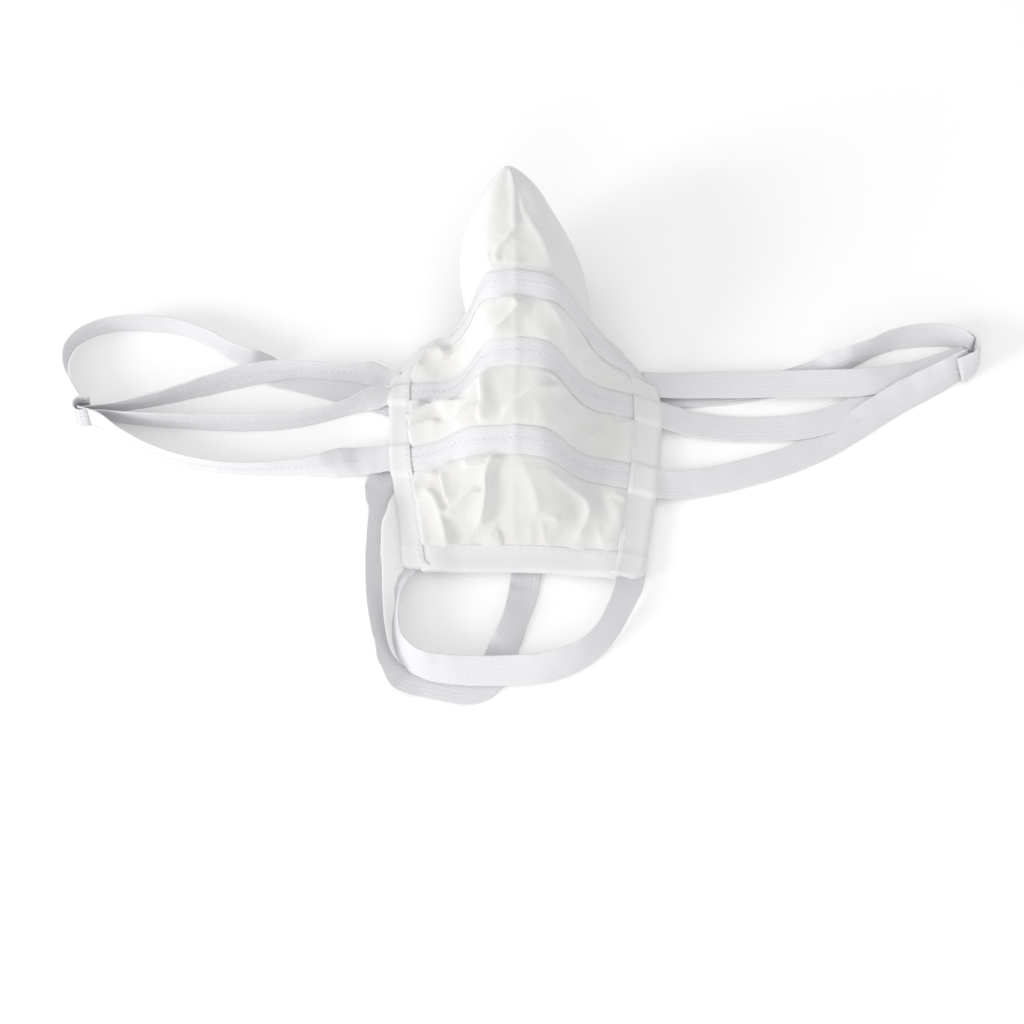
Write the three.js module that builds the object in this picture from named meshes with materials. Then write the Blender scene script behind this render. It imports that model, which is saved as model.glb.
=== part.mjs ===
// Disposable cloth dust mask with a pointed nose peak, three sewn elastic tapes across the front,
// a looped head harness, a chin loop and a neck loop, lying face up on a table.
// Millimetres, +Z up, +Y towards the nose peak, +X towards the wearer's left-hand harness.
import * as THREE from 'three';

// ---- driving dimensions -------------------------------------------------------------------
const TAPE_WIDTH = 12;          // woven elastic of the whole harness
const TAPE_THICKNESS = 0.8;
const GAP = 0.3;                // clearance between touching cloth layers
const COVER_THICKNESS = 0.6;    // outer non-woven
const FILTER_THICKNESS = 0.6;   // melt-blown middle layer
const LINING_THICKNESS = 0.5;   // soft inner layer against the face
const BINDING_THICKNESS = 0.7;  // folded strip round the side edges and the hem
const BINDING_WIDTH = { left: 7.5, right: 9.5 };
const EDGE_HEIGHT = 4.8;        // top of the cloth stack along both side edges
const CREASE_HEIGHT = 1.6;      // extra rise of the pressed centre crease
const CREASE_SPREAD = 0.1;      // share of the half width that the crease takes
const CREASE_START = 0.4;       // where, up from the hem, the crease has its full height
const CROWN_POWER = 5;          // how squarely the crown drops to the flat side edges
const REST_Y = 80;              // distance from the hem to the back strap the mask rests on

const STACK = COVER_THICKNESS + FILTER_THICKNESS + LINING_THICKNESS + 2 * GAP;

// The front of the mask, from the hem (v 0) to the upper edge of the top tape (v 1). Each line
// gives both edges [x, y], the ridge [x, y, z] and how full the crown is on each side.
const FRONT_LINES = [
  { v: 0.0, left: [-41.8, 2.4], ridge: [0, 2, 5], right: [48, -2.6], full: [0.6, 0.5] },
  { v: 0.115, left: [-43, 12], ridge: [0, 11, 6.6], right: [50, 7], full: [0.6, 0.45] },
  { v: 0.42, left: [-47.8, 51.5], ridge: [0, 47, 27], right: [55, 41], full: [0.6, 0.36] },
  { v: 0.72, left: [-49.3, 83.5], ridge: [0.4, 80, 39.5], right: [57.5, 73.6], full: [0.37, 0.38] },
  { v: 0.94, left: [-48, 92.4], ridge: [0, 106.6, 49.5], right: [55.2, 89.4], full: [0.36, 0.5] },
  { v: 1.0, left: [-45.4, 102.6], ridge: [0, 113, 51], right: [51.5, 97.6], full: [0.36, 0.55] },
];
const TAPE_LINE = { lower: 0.42, middle: 0.72, upper: 0.94 };
const HEM_TOP = 0.115;

// The nose peak springs from the top line between these shares of its half widths.
const PEAK_ROOT = { left: 0.43, right: 0.6 };
const PEAK_RIDGE = [[0, 113, 51], [-0.3, 130, 52], [-1.2, 154, 50.5], [-3, 167.6, 46.5]];
const PEAK_EDGE = {
  left: [[-22, 124, 21], [-22.8, 137, 22], [-20.8, 149.5, 24.5], [-16, 159.5, 31], [-9.6, 166, 39],
    [-4.4, 168.8, 44]],
  right: [[30.2, 122, 19.5], [27.6, 134, 21], [22.6, 146, 24], [15.4, 157, 29.5], [7, 165, 38],
    [-1.4, 168.8, 44]],
};

// Free tapes: [x, y, roll, lift] along the centre line. Roll 0 lies flat, 90 stands on edge, and
// a positive roll raises the side on the left of the direction of travel. Lift is the clearance
// under the lower edge.
const TAPES = {
  back_strap_middle: {
    body: 'mask',
    line: [[-51.6, 80.5, 0, 0], [-42, 77.6, 0, 0], [0, 80, 0, 0], [40, 83.8, 0, 0], [58.2, 84.8, 0, 0]],
  },
  neck_strap_left: {
    body: 'mask',
    line: [[-54.4, 44, -58, 0.2], [-55.2, 34, -64, 0.2], [-55.7, 24, -68, 0.2], [-56, 13, -66, 0.2],
      [-55.9, 4.2, -60, 0.2]],
  },
  neck_strap_right: {
    body: 'mask',
    line: [[4.7, 5, 0, 0], [5.7, 12, 0, 0], [12, 22, 0, 0], [26, 30.6, 0, 0], [44, 36.4, 0, 0],
      [54, 38.6, 0, 0]],
  },
  upper_strap_left: {
    body: 'left_harness',
    line: [[-54.2, 91.2, -84, 1.3], [-64, 91.6, -88, 1.3], [-77, 92.4, -89, 1.3], [-89, 93.2, -86, 1.3],
      [-100, 92.4, -78, 1.3], [-112, 90, -74, 1.0], [-124, 86.5, -80, 0.4], [-135, 82.9, -89, 0.3],
      [-146, 79.6, -96, 0.3], [-157.5, 77.4, -101, 0.3], [-168.6, 76, -104, 0.3]],
  },
  middle_strap_left: {
    body: 'left_harness',
    line: [[-54.4, 81.6, -80, 1.3], [-63.5, 77.3, -88, 1.3], [-75, 72.9, -92, 0.4], [-86, 70.2, -89, 0.2],
      [-98, 68.8, -85, 0.2], [-110, 68.3, -85, 0.2], [-122, 68.5, -87, 0.2], [-134, 68.9, -92, 0.2],
      [-146, 69.5, -97, 0.3], [-157.5, 71, -101, 0.3], [-168.6, 73.2, -104, 0.3]],
  },
  lower_strap_left: {
    body: 'left_harness',
    line: [[-54.2, 52.6, 0, 1.2], [-63, 52, -12, 0.6], [-71, 50, -44, 0.2], [-79, 48.2, -74, 0.2],
      [-89, 47.3, -88, 0.2], [-100, 46.6, -95, 0.2], [-112, 46.7, -98, 0.2], [-124, 48.2, -98, 0.2],
      [-136, 51, -96, 0.2], [-148, 55.8, -94, 0.2], [-159, 62.4, -94, 0.2], [-169, 70, -92, 0.2]],
  },
  back_strap_left: {
    body: 'left_harness',
    line: [[-54.2, 81.4, 0, 0], [-60, 83.8, 0, 0], [-68, 86.7, 0, 0], [-79, 89.9, 0, 0], [-89, 92.7, 0, 0],
      [-97, 94.6, -4, 0], [-103, 96.2, -32, 0], [-109, 98.8, -70, 0.1], [-116, 102.8, -84, 0.2],
      [-124, 108, -88, 0.2], [-132, 112.2, -89, 0.2], [-140, 115, -90, 0.2], [-149, 116.4, -90, 0.2],
      [-158, 116.8, -91, 0.2], [-167, 116, -93, 0.2], [-175, 113.2, -94, 0.2], [-181.4, 108.4, -94, 0.2],
      [-184.6, 101, -90, 0.2], [-183.6, 92.4, -88, 0.2], [-179.4, 84.8, -89, 0.2]],
  },
  upper_strap_right: {
    body: 'right_harness',
    line: [[62, 88, 5, 2], [84, 88.2, 8, 2], [112, 88.5, 9, 2.2], [128, 88.5, 14, 2.2],
      [142, 89, 16, 2.2], [157, 91.8, 6, 2.4], [171, 96, -2, 2.6], [181.6, 100.8, -4, 2.6]],
  },
  middle_strap_right: {
    body: 'right_harness',
    line: [[62.3, 72.6, 0, 1.6], [72.4, 70.5, -2, 0.6], [83.5, 69, -2, 0.3], [95, 68.3, 0, 0.3],
      [106, 68.4, 0, 0.6], [117, 69.4, 2, 1], [128, 72.4, 0, 1.2], [138, 77, 0, 1.2],
      [148, 82.8, 0, 1.2], [159, 88.2, 0, 1.2], [171, 94, 0, 1.2], [180.8, 99.8, 0, 1.2]],
  },
  lower_strap_right: {
    body: 'right_harness',
    line: [[61.6, 40.7, 12, 1.2], [72, 42, 15, 0.2], [85, 45, 10, 0.1], [99, 49.5, 6, 0.1],
      [112, 54.4, 3, 0], [125, 61, 0, 0], [137, 69, 0, 0], [149, 78, 0, 0], [161, 85.8, 0, 0],
      [171, 92.2, 0, 0], [179.4, 98.4, 0, 0]],
  },
  back_strap_right: {
    body: 'right_harness',
    line: [[61.6, 84.8, 0, 0], [76, 85.4, 0, 0], [91, 86.9, 0, 0], [106, 89.8, 0, 0], [116, 92.8, 0, 0],
      [124, 94.9, 8, 0], [132, 97.6, 42, 0.1], [139.6, 100.8, 72, 0.2], [147, 104.4, 80, 0.2],
      [155, 108.2, 76, 0.2], [163.5, 110.2, 69, 0.2], [172, 111, 68, 0.2], [180, 110.2, 74, 0.2],
      [186, 107.4, 86, 0.2], [188.4, 105.4, 90, 0.2]],
  },
  chin_loop: {
    body: 'chin_loop',
    line: [[-41.6, -3.6, 26, 1.4], [-44.2, -7, 52, 0.6], [-45.8, -13.4, 80, 0.2], [-46.5, -22.3, 78, 0.2],
      [-45.4, -31, 76, 1], [-42, -37.4, 68, 1.9], [-36.8, -41.2, 58, 1.7], [-28.6, -43, 46, 1.5],
      [-17, -43.6, 38, 1.4], [-4, -43.5, 36, 1.4], [9, -42.6, 40, 1.2], [20, -39.4, 48, 0.6],
      [28.6, -34.2, 54, 0.2], [35.4, -26.4, 52, 0.2], [40.4, -16.8, 46, 0.4], [43.8, -9.2, 36, 1.2]],
  },
  neck_loop: {
    body: 'neck_loop',
    line: [[-55.8, 2.6, -60, 0.2], [-55.3, -10, -60, 0.2], [-53.8, -23, -62, 0.2], [-51.6, -32.6, -62, 0.2],
      [-48.6, -40, -44, 0.1], [-43, -45.2, -8, 0], [-35.4, -46.8, 0, 0], [-27, -48.6, 0, 0],
      [-20, -50, 0, 0], [-13.6, -48.4, 0, 0], [-9.2, -43.4, 0, 0], [-6.4, -36.6, 0, 0],
      [-2.8, -28.4, 28, 0], [0.2, -19.6, 34, 0], [2.8, -9.8, 20, 0], [3.9, -3, 3, 0], [4.4, 2.6, 0, 0]],
  },
};
const TAPE_STEPS = 3;           // segments between two control points

// Folded tabs that gather the three front tapes and the back strap at each end of the harness.
const TABS = {
  gather_tab_left: { body: 'left_harness', at: [-173.6, 75], turn: 12, size: [7.2, 12.5, 12.4] },
  gather_tab_right: { body: 'right_harness', at: [186.6, 101], turn: 27, size: [6, 8, 12.4] },
};

// ---- materials ----------------------------------------------------------------------------
const cloth = (name, color, roughness) =>
  Object.assign(new THREE.MeshStandardMaterial({ color, roughness, metalness: 0 }), { name });
const NON_WOVEN = cloth('non_woven', 0xf0efed, 0.95);
const FILTER = cloth('filter_media', 0xe4e6e8, 1.0);
const LINING = cloth('lining_cloth', 0xf5f4f1, 0.95);
const ELASTIC = cloth('knitted_elastic', 0xf1f0f5, 0.8);
const BINDING = cloth('binding_cloth', 0xf2f0f2, 0.85);

// ---- closed thin bodies -------------------------------------------------------------------
// A closed body between two skins over the same grid of stations.
function slab(rows, columns, upper, lower) {
  const positions = [];
  const index = [];
  const count = rows.length * columns.length;
  for (const skin of [upper, lower]) {
    for (const a of rows) for (const b of columns) positions.push(...skin(a, b).toArray());
  }
  const id = (side, i, j) => side * count + i * columns.length + j;
  const quad = (p, q, r, s) => index.push(p, q, r, p, r, s);
  const [n, m] = [rows.length - 1, columns.length - 1];
  for (let i = 0; i < n; i++) {
    for (let j = 0; j < m; j++) {
      quad(id(0, i, j), id(0, i + 1, j), id(0, i + 1, j + 1), id(0, i, j + 1));
      quad(id(1, i, j), id(1, i, j + 1), id(1, i + 1, j + 1), id(1, i + 1, j));
    }
    quad(id(0, i, 0), id(1, i, 0), id(1, i + 1, 0), id(0, i + 1, 0));
    quad(id(0, i, m), id(0, i + 1, m), id(1, i + 1, m), id(1, i, m));
  }
  for (let j = 0; j < m; j++) {
    quad(id(0, 0, j), id(0, 0, j + 1), id(1, 0, j + 1), id(1, 0, j));
    quad(id(0, n, j), id(1, n, j), id(1, n, j + 1), id(0, n, j + 1));
  }
  const geometry = new THREE.BufferGeometry();
  geometry.setAttribute('position', new THREE.Float32BufferAttribute(positions, 3));
  geometry.setIndex(index);
  if (signedVolume(geometry) < 0) {
    for (let k = 0; k < index.length; k += 3) [index[k + 1], index[k + 2]] = [index[k + 2], index[k + 1]];
    geometry.setIndex(index);
  }
  geometry.computeVertexNormals();
  return geometry;
}

function signedVolume(geometry) {
  const position = geometry.getAttribute('position');
  const order = geometry.getIndex();
  const [a, b, c] = [new THREE.Vector3(), new THREE.Vector3(), new THREE.Vector3()];
  let volume = 0;
  for (let k = 0; k < order.count; k += 3) {
    a.fromBufferAttribute(position, order.getX(k));
    b.fromBufferAttribute(position, order.getX(k + 1));
    c.fromBufferAttribute(position, order.getX(k + 2));
    volume += a.dot(b.cross(c)) / 6;
  }
  return volume;
}

const lerp = THREE.MathUtils.lerp;
const range = (from, to, steps) => Array.from({ length: steps + 1 }, (_, k) => lerp(from, to, k / steps));

// ---- the front surface --------------------------------------------------------------------
// Smooth value of a list of numbers given at the front lines.
function alongLines(v, pick) {
  const n = FRONT_LINES.length;
  let k = FRONT_LINES.findIndex((line) => line.v > v) - 1;
  if (k < 0) k = v < FRONT_LINES[0].v ? 0 : n - 2;
  const knot = (i) => FRONT_LINES[Math.min(Math.max(i, 0), n - 1)];
  const [p0, p1, p2, p3] = [knot(k - 1), knot(k), knot(k + 1), knot(k + 2)];
  const span = p2.v - p1.v;
  const s = (v - p1.v) / span;
  const slope = (a, b) => (b.v === a.v ? 0 : (pick(b) - pick(a)) / (b.v - a.v));
  const m1 = slope(p0, p2) * span;
  const m2 = slope(p1, p3) * span;
  const [s2, s3] = [s * s, s * s * s];
  return (2 * s3 - 3 * s2 + 1) * pick(p1) + (s3 - 2 * s2 + s) * m1
    + (3 * s2 - 2 * s3) * pick(p2) + (s3 - s2) * m2;
}

// Height share of the crown at a share t of the half width: 1 on the ridge, 0 on the edge.
function crown(t, full) {
  const bell = (x) => 1 / (1 + (x / full) ** CROWN_POWER);
  return (bell(t) - bell(1)) / (1 - bell(1));
}

// Height share of the pressed crease, sharp on the ridge and gone at the edge.
const creaseShare = (t) => Math.exp(-t / CREASE_SPREAD) - Math.exp(-1 / CREASE_SPREAD);

// Point of the front at u (-1 left edge, 0 ridge, 1 right edge) and v.
function frontPoint(u, v) {
  const side = u < 0 ? 'left' : 'right';
  const t = Math.abs(u);
  const ridge = [0, 1, 2].map((k) => alongLines(v, (line) => line.ridge[k]));
  const edge = [0, 1].map((k) => alongLines(v, (line) => line[side][k]));
  const full = alongLines(v, (line) => line.full[u < 0 ? 0 : 1]);
  const rise = (ridge[2] - EDGE_HEIGHT) * crown(t, full);
  const crease = CREASE_HEIGHT * Math.min(1, v / CREASE_START) * creaseShare(t);
  return new THREE.Vector3(
    lerp(ridge[0], edge[0], t), lerp(ridge[1], edge[1], t * t), EDGE_HEIGHT + rise + crease);
}

// Outward normal of a surface given on two parameters; the crease keeps it in the ridge plane.
function surfaceNormal(surface, a, b, ridgeShare) {
  const h = 1e-3;
  const along = surface(a + h, b).sub(surface(a - h, b));
  const across = surface(a, b + h).sub(surface(a, b - h));
  const normal = along.cross(across).normalize();
  if (normal.z < 0) normal.negate();
  normal.x *= Math.min(1, ridgeShare * 6);
  return normal.normalize();
}
const frontNormal = (u, v) => surfaceNormal(frontPoint, u, v, Math.abs(u));
const frontLayer = (u, v, offset) => frontPoint(u, v).addScaledVector(frontNormal(u, v), offset);

// ---- the nose peak ------------------------------------------------------------------------
const vectors = (points) => points.map((p) => new THREE.Vector3(...p));
const peakRidge = new THREE.CatmullRomCurve3(vectors(PEAK_RIDGE), false, 'centripetal');
const peakEdge = Object.fromEntries(['left', 'right'].map((side) => {
  const root = frontPoint((side === 'left' ? -1 : 1) * PEAK_ROOT[side], 1);
  return [side, new THREE.CatmullRomCurve3([root, ...vectors(PEAK_EDGE[side])], false, 'centripetal')];
}));

function peakPoint(u, w) {
  const side = u < 0 ? 'left' : 'right';
  const t = Math.abs(u);
  const full = FRONT_LINES.at(-1).full[u < 0 ? 0 : 1];
  const root = crown(PEAK_ROOT[side], full);
  const arch = (crown(PEAK_ROOT[side] * t, full) - root) / (1 - root);
  const ridge = peakRidge.getPoint(THREE.MathUtils.clamp(w, 0, 1));
  const edge = peakEdge[side].getPoint(THREE.MathUtils.clamp(w, 0, 1));
  const crease = CREASE_HEIGHT * (1 - w) * creaseShare(t * PEAK_ROOT[side]) * (1 - t);
  return new THREE.Vector3(
    lerp(ridge.x, edge.x, t), lerp(ridge.y, edge.y, t * t), lerp(edge.z, ridge.z, arch) + crease);
}
const peakLayer = (u, w, offset) => {
  const inside = THREE.MathUtils.clamp(w, 0.002, 0.998);
  return peakPoint(u, w).addScaledVector(surfaceNormal(peakPoint, u, inside, Math.abs(u)), offset);
};

// ---- assembly -----------------------------------------------------------------------------
const assembly = new THREE.Group();
assembly.name = 'dust_mask';
const laidOut = new THREE.Group();
laidOut.name = 'laid_on_table';
laidOut.position.y = -REST_Y;
assembly.add(laidOut);

const bodies = {};
for (const name of ['mask', 'left_harness', 'right_harness', 'chin_loop', 'neck_loop']) {
  bodies[name] = new THREE.Group();
  bodies[name].name = `body_${name}`;
  laidOut.add(bodies[name]);
}
function add(body, name, geometry, material) {
  const mesh = new THREE.Mesh(geometry, material);
  mesh.name = name;
  bodies[body].add(mesh);
}

// Cloth layers: each half runs from just beside the ridge to the side edge.
const HALF_STEPS = 12;
const FRONT_STEPS = 17;
const RIDGE_SHARE = 0.008;
const PANEL_TOP = 0.992;
const halfStations = (sign) => [RIDGE_SHARE, ...range(0, 1, HALF_STEPS).slice(1)].map((t) => sign * t);
const layers = [
  ['outer_cover', 0, COVER_THICKNESS, NON_WOVEN],
  ['filter_layer', COVER_THICKNESS + GAP, FILTER_THICKNESS, FILTER],
  ['inner_lining', COVER_THICKNESS + FILTER_THICKNESS + 2 * GAP, LINING_THICKNESS, LINING],
];
for (const [side, sign] of [['left', -1], ['right', 1]]) {
  for (const [name, depth, thickness, material] of layers) {
    add('mask', `${name}_${side}`, slab(halfStations(sign), range(0, PANEL_TOP, FRONT_STEPS),
      (u, v) => frontLayer(u, v, -depth), (u, v) => frontLayer(u, v, -depth - thickness)), material);
  }
  const peakRows = [RIDGE_SHARE * 2, ...range(0, 1, 7).slice(1)].map((t) => sign * t);
  for (const [name, depth, thickness, material] of [layers[0], layers[2]]) {
    const inset = name === 'outer_cover' ? depth : COVER_THICKNESS + GAP;
    const title = name === 'outer_cover' ? 'nose_peak' : 'nose_peak_lining';
    add('mask', `${title}_${side}`, slab(peakRows, range(0.012, 0.975, 11),
      (u, w) => peakLayer(u, w, -inset), (u, w) => peakLayer(u, w, -inset - thickness)), material);
  }
}

// Tapes sewn across the front. They narrow a little where they tuck under the side bindings.
const BAND_LIFT = 0.45;
const BAND_END = { left: 0.955, right: 0.965 };
const BAND_WIDTH = {
  upper: { left: 8, crown: 11, right: 10.4 },
  middle: { left: 8, crown: 11, right: 11 },
  lower: { left: 11, crown: 11.4, right: 11.6 },
};
for (const [name, line] of Object.entries(TAPE_LINE)) {
  const width = (u) => lerp(BAND_WIDTH[name].crown, BAND_WIDTH[name][u < 0 ? 'left' : 'right'], u * u);
  const perV = (u) => frontPoint(u, line + 0.005).distanceTo(frontPoint(u, line - 0.005)) / 0.01;
  const stations = range(-1, 1, 2 * HALF_STEPS)
    .map((u) => THREE.MathUtils.clamp(u, -BAND_END.left, BAND_END.right));
  const at = (u, s, offset) => frontLayer(u, line + (s * width(u)) / 2 / perV(u), offset);
  add('mask', `${name}_band`, slab(stations, [-1, -0.33, 0.33, 1],
    (u, s) => at(u, s, BAND_LIFT + TAPE_THICKNESS), (u, s) => at(u, s, BAND_LIFT)), ELASTIC);
}

// Side bindings: one strip folded round the edge of the stack, raised where it covers a tape.
const BINDING_LIFT = 0.4;
const FOLD = [75, 40, 0, -40, -75].map(THREE.MathUtils.degToRad);
function bindingLift(v, left) {
  const reach = left ? 0.09 : 0.1;
  const over = Object.values(TAPE_LINE).map((line) => Math.abs(v - line) / reach);
  const near = THREE.MathUtils.clamp(1.9 - Math.min(...over), 0, 1);
  return BINDING_LIFT + (BAND_LIFT + TAPE_THICKNESS + GAP - BINDING_LIFT) * near;
}
function foldedEdge(place, outward, inset, lift, skin) {
  // Points across a strip that wraps an edge: upper leaf, fold, lower leaf.
  const middle = (lift - STACK - BINDING_LIFT) / 2;
  const radius = (lift + STACK + BINDING_LIFT) / 2 + skin;
  return [
    ...inset.map((t) => place(t, lift + skin)),
    ...FOLD.map((angle) => place(0, middle + radius * Math.sin(angle))
      .addScaledVector(outward, 1.1 * radius * Math.cos(angle))),
    ...inset.toReversed().map((t) => place(t, -STACK - BINDING_LIFT - skin)),
  ];
}
for (const [side, sign] of [['left', -1], ['right', 1]]) {
  const stations = range(-0.012, 1, 30);
  const inset = [1, 0.55, 0].map((k) => k * BINDING_WIDTH[side]);
  const ring = (skin) => stations.map((v) => {
    const half = Math.abs(frontPoint(sign, v).x);
    const place = (distance, offset) => frontLayer(sign * (1 - distance / half), v, offset);
    return foldedEdge(place, new THREE.Vector3(sign, 0, 0), inset, bindingLift(v, sign < 0), skin);
  });
  const [inner, outer] = [ring(0), ring(BINDING_THICKNESS)];
  add('mask', `side_binding_${side}`, slab([...stations.keys()], [...outer[0].keys()],
    (i, k) => outer[i][k], (i, k) => inner[i][k]), BINDING);
}

// Bottom hem: a strip folded round the lower edge between the side bindings.
{
  const ends = { left: 1 - (BINDING_WIDTH.left + 0.8) / 42.5, right: 1 - (BINDING_WIDTH.right + 0.8) / 49 };
  const stations = [-ends.left, ...range(-0.75, 0.75, 18), ends.right];
  const inset = [HEM_TOP, HEM_TOP / 2, 0];
  const ring = (skin) => stations.map((u) => foldedEdge(
    (v, offset) => frontLayer(u, v, offset), new THREE.Vector3(0, -1, 0), inset, BINDING_LIFT, skin));
  const [inner, outer] = [ring(0), ring(BINDING_THICKNESS)];
  add('mask', 'bottom_hem', slab([...stations.keys()], [...outer[0].keys()],
    (i, k) => outer[i][k], (i, k) => inner[i][k]), BINDING);
}

// Free tapes of the harness and the two lower loops.
function tapeGeometry(line) {
  const knots = line.map(([x, y]) => new THREE.Vector3(x, y, 0));
  const path = new THREE.CatmullRomCurve3(knots, false, 'centripetal');
  const spans = line.length - 1;
  const valueAt = (s, k) => {
    const i = Math.min(Math.floor(s * spans), spans - 1);
    return lerp(line[i][k], line[i + 1][k], THREE.MathUtils.smoothstep(s * spans - i, 0, 1));
  };
  const centre = (s) => {
    const roll = THREE.MathUtils.degToRad(valueAt(s, 2));
    const point = path.getPoint(s);
    const reach = Math.abs(Math.sin(roll)) * TAPE_WIDTH + Math.abs(Math.cos(roll)) * TAPE_THICKNESS;
    point.z = valueAt(s, 3) + reach / 2;
    return { point, roll };
  };
  const skin = (s, across, through) => {
    const { point, roll } = centre(s);
    const tangent = path.getTangent(s);
    const leftward = new THREE.Vector3(-tangent.y, tangent.x, 0);
    const width = leftward.multiplyScalar(Math.cos(roll)).setZ(Math.sin(roll));
    const normal = tangent.clone().cross(width).normalize();
    return point.addScaledVector(width, (across * TAPE_WIDTH) / 2)
      .addScaledVector(normal, (through * TAPE_THICKNESS) / 2);
  };
  return slab(range(0, 1, spans * TAPE_STEPS), [-1, 1], (s, a) => skin(s, a, 1), (s, a) => skin(s, a, -1));
}
for (const [name, { body, line }] of Object.entries(TAPES)) add(body, name, tapeGeometry(line), ELASTIC);

// Gather tabs: short folded ends of tape standing on edge.
for (const [name, { body, at, turn, size }] of Object.entries(TABS)) {
  const round = (s) => Math.sqrt(1 - 0.55 * s * s);
  const corner = (a, b, side) => new THREE.Vector3(
    (side * size[0] * round(a)) / 2, (a * size[1]) / 2, size[2] * (0.5 + 0.5 * b));
  const geometry = slab(range(-1, 1, 4), [-1, 1], (a, b) => corner(a, b, 1), (a, b) => corner(a, b, -1));
  geometry.rotateZ(THREE.MathUtils.degToRad(turn));
  geometry.translate(at[0], at[1], 0.2);
  add(body, name, geometry, ELASTIC);
}

export default assembly;
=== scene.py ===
# Looks of a cloth dust mask with a pointed nose peak, a gathered front, sewn elastic tapes,
# a looped head harness, a chin loop and a neck loop, laid face up on a table.
import math

import bpy
import numpy as np
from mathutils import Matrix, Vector


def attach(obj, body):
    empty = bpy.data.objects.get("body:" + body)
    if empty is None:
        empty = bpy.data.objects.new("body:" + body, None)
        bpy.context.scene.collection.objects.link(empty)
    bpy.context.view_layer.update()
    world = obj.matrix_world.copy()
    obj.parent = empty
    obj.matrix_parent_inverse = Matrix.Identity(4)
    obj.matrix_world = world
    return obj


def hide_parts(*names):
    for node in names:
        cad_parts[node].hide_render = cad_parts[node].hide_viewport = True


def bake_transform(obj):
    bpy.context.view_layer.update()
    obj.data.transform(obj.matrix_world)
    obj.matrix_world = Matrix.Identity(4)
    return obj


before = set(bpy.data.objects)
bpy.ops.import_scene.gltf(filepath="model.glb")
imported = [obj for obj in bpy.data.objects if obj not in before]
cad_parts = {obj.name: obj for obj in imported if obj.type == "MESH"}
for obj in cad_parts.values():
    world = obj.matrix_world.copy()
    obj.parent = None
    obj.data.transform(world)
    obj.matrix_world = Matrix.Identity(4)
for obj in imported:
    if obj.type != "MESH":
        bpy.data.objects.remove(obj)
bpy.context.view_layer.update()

# ---- driving dimensions, in millimetres from the middle of the hem ---------------------------
MM = 0.001
HEM = np.array([0.0, 80.0, 0.0])    # the frame's origin, seen from the middle of the hem
TAPE_WIDTH = 12.0
TAPE_THICKNESS = 0.8
GAP = 0.3
COVER = 0.6
FILTER = 0.6
LINING = 0.5
BINDING = 0.7
HEM_STRIP = 0.5
BINDING_TOP = {-1: 0.985, 1: 0.9}   # where the side bindings end, as a share of the front
STACK = COVER + FILTER + LINING + 2 * GAP
BINDING_WIDTH = {-1: 6.8, 1: 9.5}
EDGE_HEIGHT = 4.8
CREASE_HEIGHT = 1.6
CREASE_SPREAD = 0.1
CREASE_START = 0.4
CROWN_POWER = 5
HEM_TOP = 0.115
TAPE_LINE = {"lower": 0.42, "middle": 0.72, "upper": 0.94}

# The front, from the hem (0) to the upper edge of the top tape (1): ridge, side edges and how
# full the crown is on the left (-1) and the right (1).
LINES = np.array([0, 0.115, 0.42, 0.72, 0.94, 1.0])
RIDGE = [[0, 2, 5], [0, 11, 6.6], [0, 47, 27], [0.4, 80, 39.5], [0, 106.6, 49.5], [0, 113, 51]]
EDGE = {
    -1: [[-41.8, 2.4], [-43, 12], [-47.8, 51.5], [-49.3, 83.5], [-48, 92.4], [-45.4, 102.6]],
    1: [[48, -2.6], [50, 7], [55, 41], [57.5, 73.6], [55.2, 89.4], [51.5, 97.6]],
}
FULL = {-1: [0.6, 0.6, 0.6, 0.37, 0.36, 0.36], 1: [0.5, 0.45, 0.36, 0.38, 0.5, 0.55]}
CORNER = {-1: 0.21, 1: 0.16}        # how far the upper corners are drawn in at the top line
CORNER_START = 0.9                  # the height at which that starts,
CORNER_BEND = 1.4                   # how sharply it grows,
CORNER_FROM = 0.62                  # and the share of the half width from which it acts
CORNER_LOW = 0.05                   # how far the lower corners are drawn in at the hem
CORNER_END = 0.04                   # and the height at which that ends
SWELL = (1.2, 0.74, 0.14)           # the swelling beside a binding: mm, place and half width
SLOPE = (0.8, 0.78)                 # the slope down under a binding: mm and where it starts
PEAK_ROOT = {-1: 0.43, 1: 0.6}
PEAK_RIDGE = [[0, 113, 51], [-0.3, 130, 52], [-1.2, 154, 50.5], [-3, 167.6, 46.5]]
PEAK_EDGE = {
    -1: [[-22, 124, 21], [-22.8, 137, 22], [-20.8, 149.5, 24.5], [-16, 159.5, 31], [-9.6, 166, 39],
         [-4.4, 168.8, 44]],
    1: [[30.2, 122, 19.5], [27.6, 134, 21], [22.6, 146, 24], [15.4, 157, 29.5], [7, 165, 38],
        [-1.4, 168.8, 44]],
}

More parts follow.
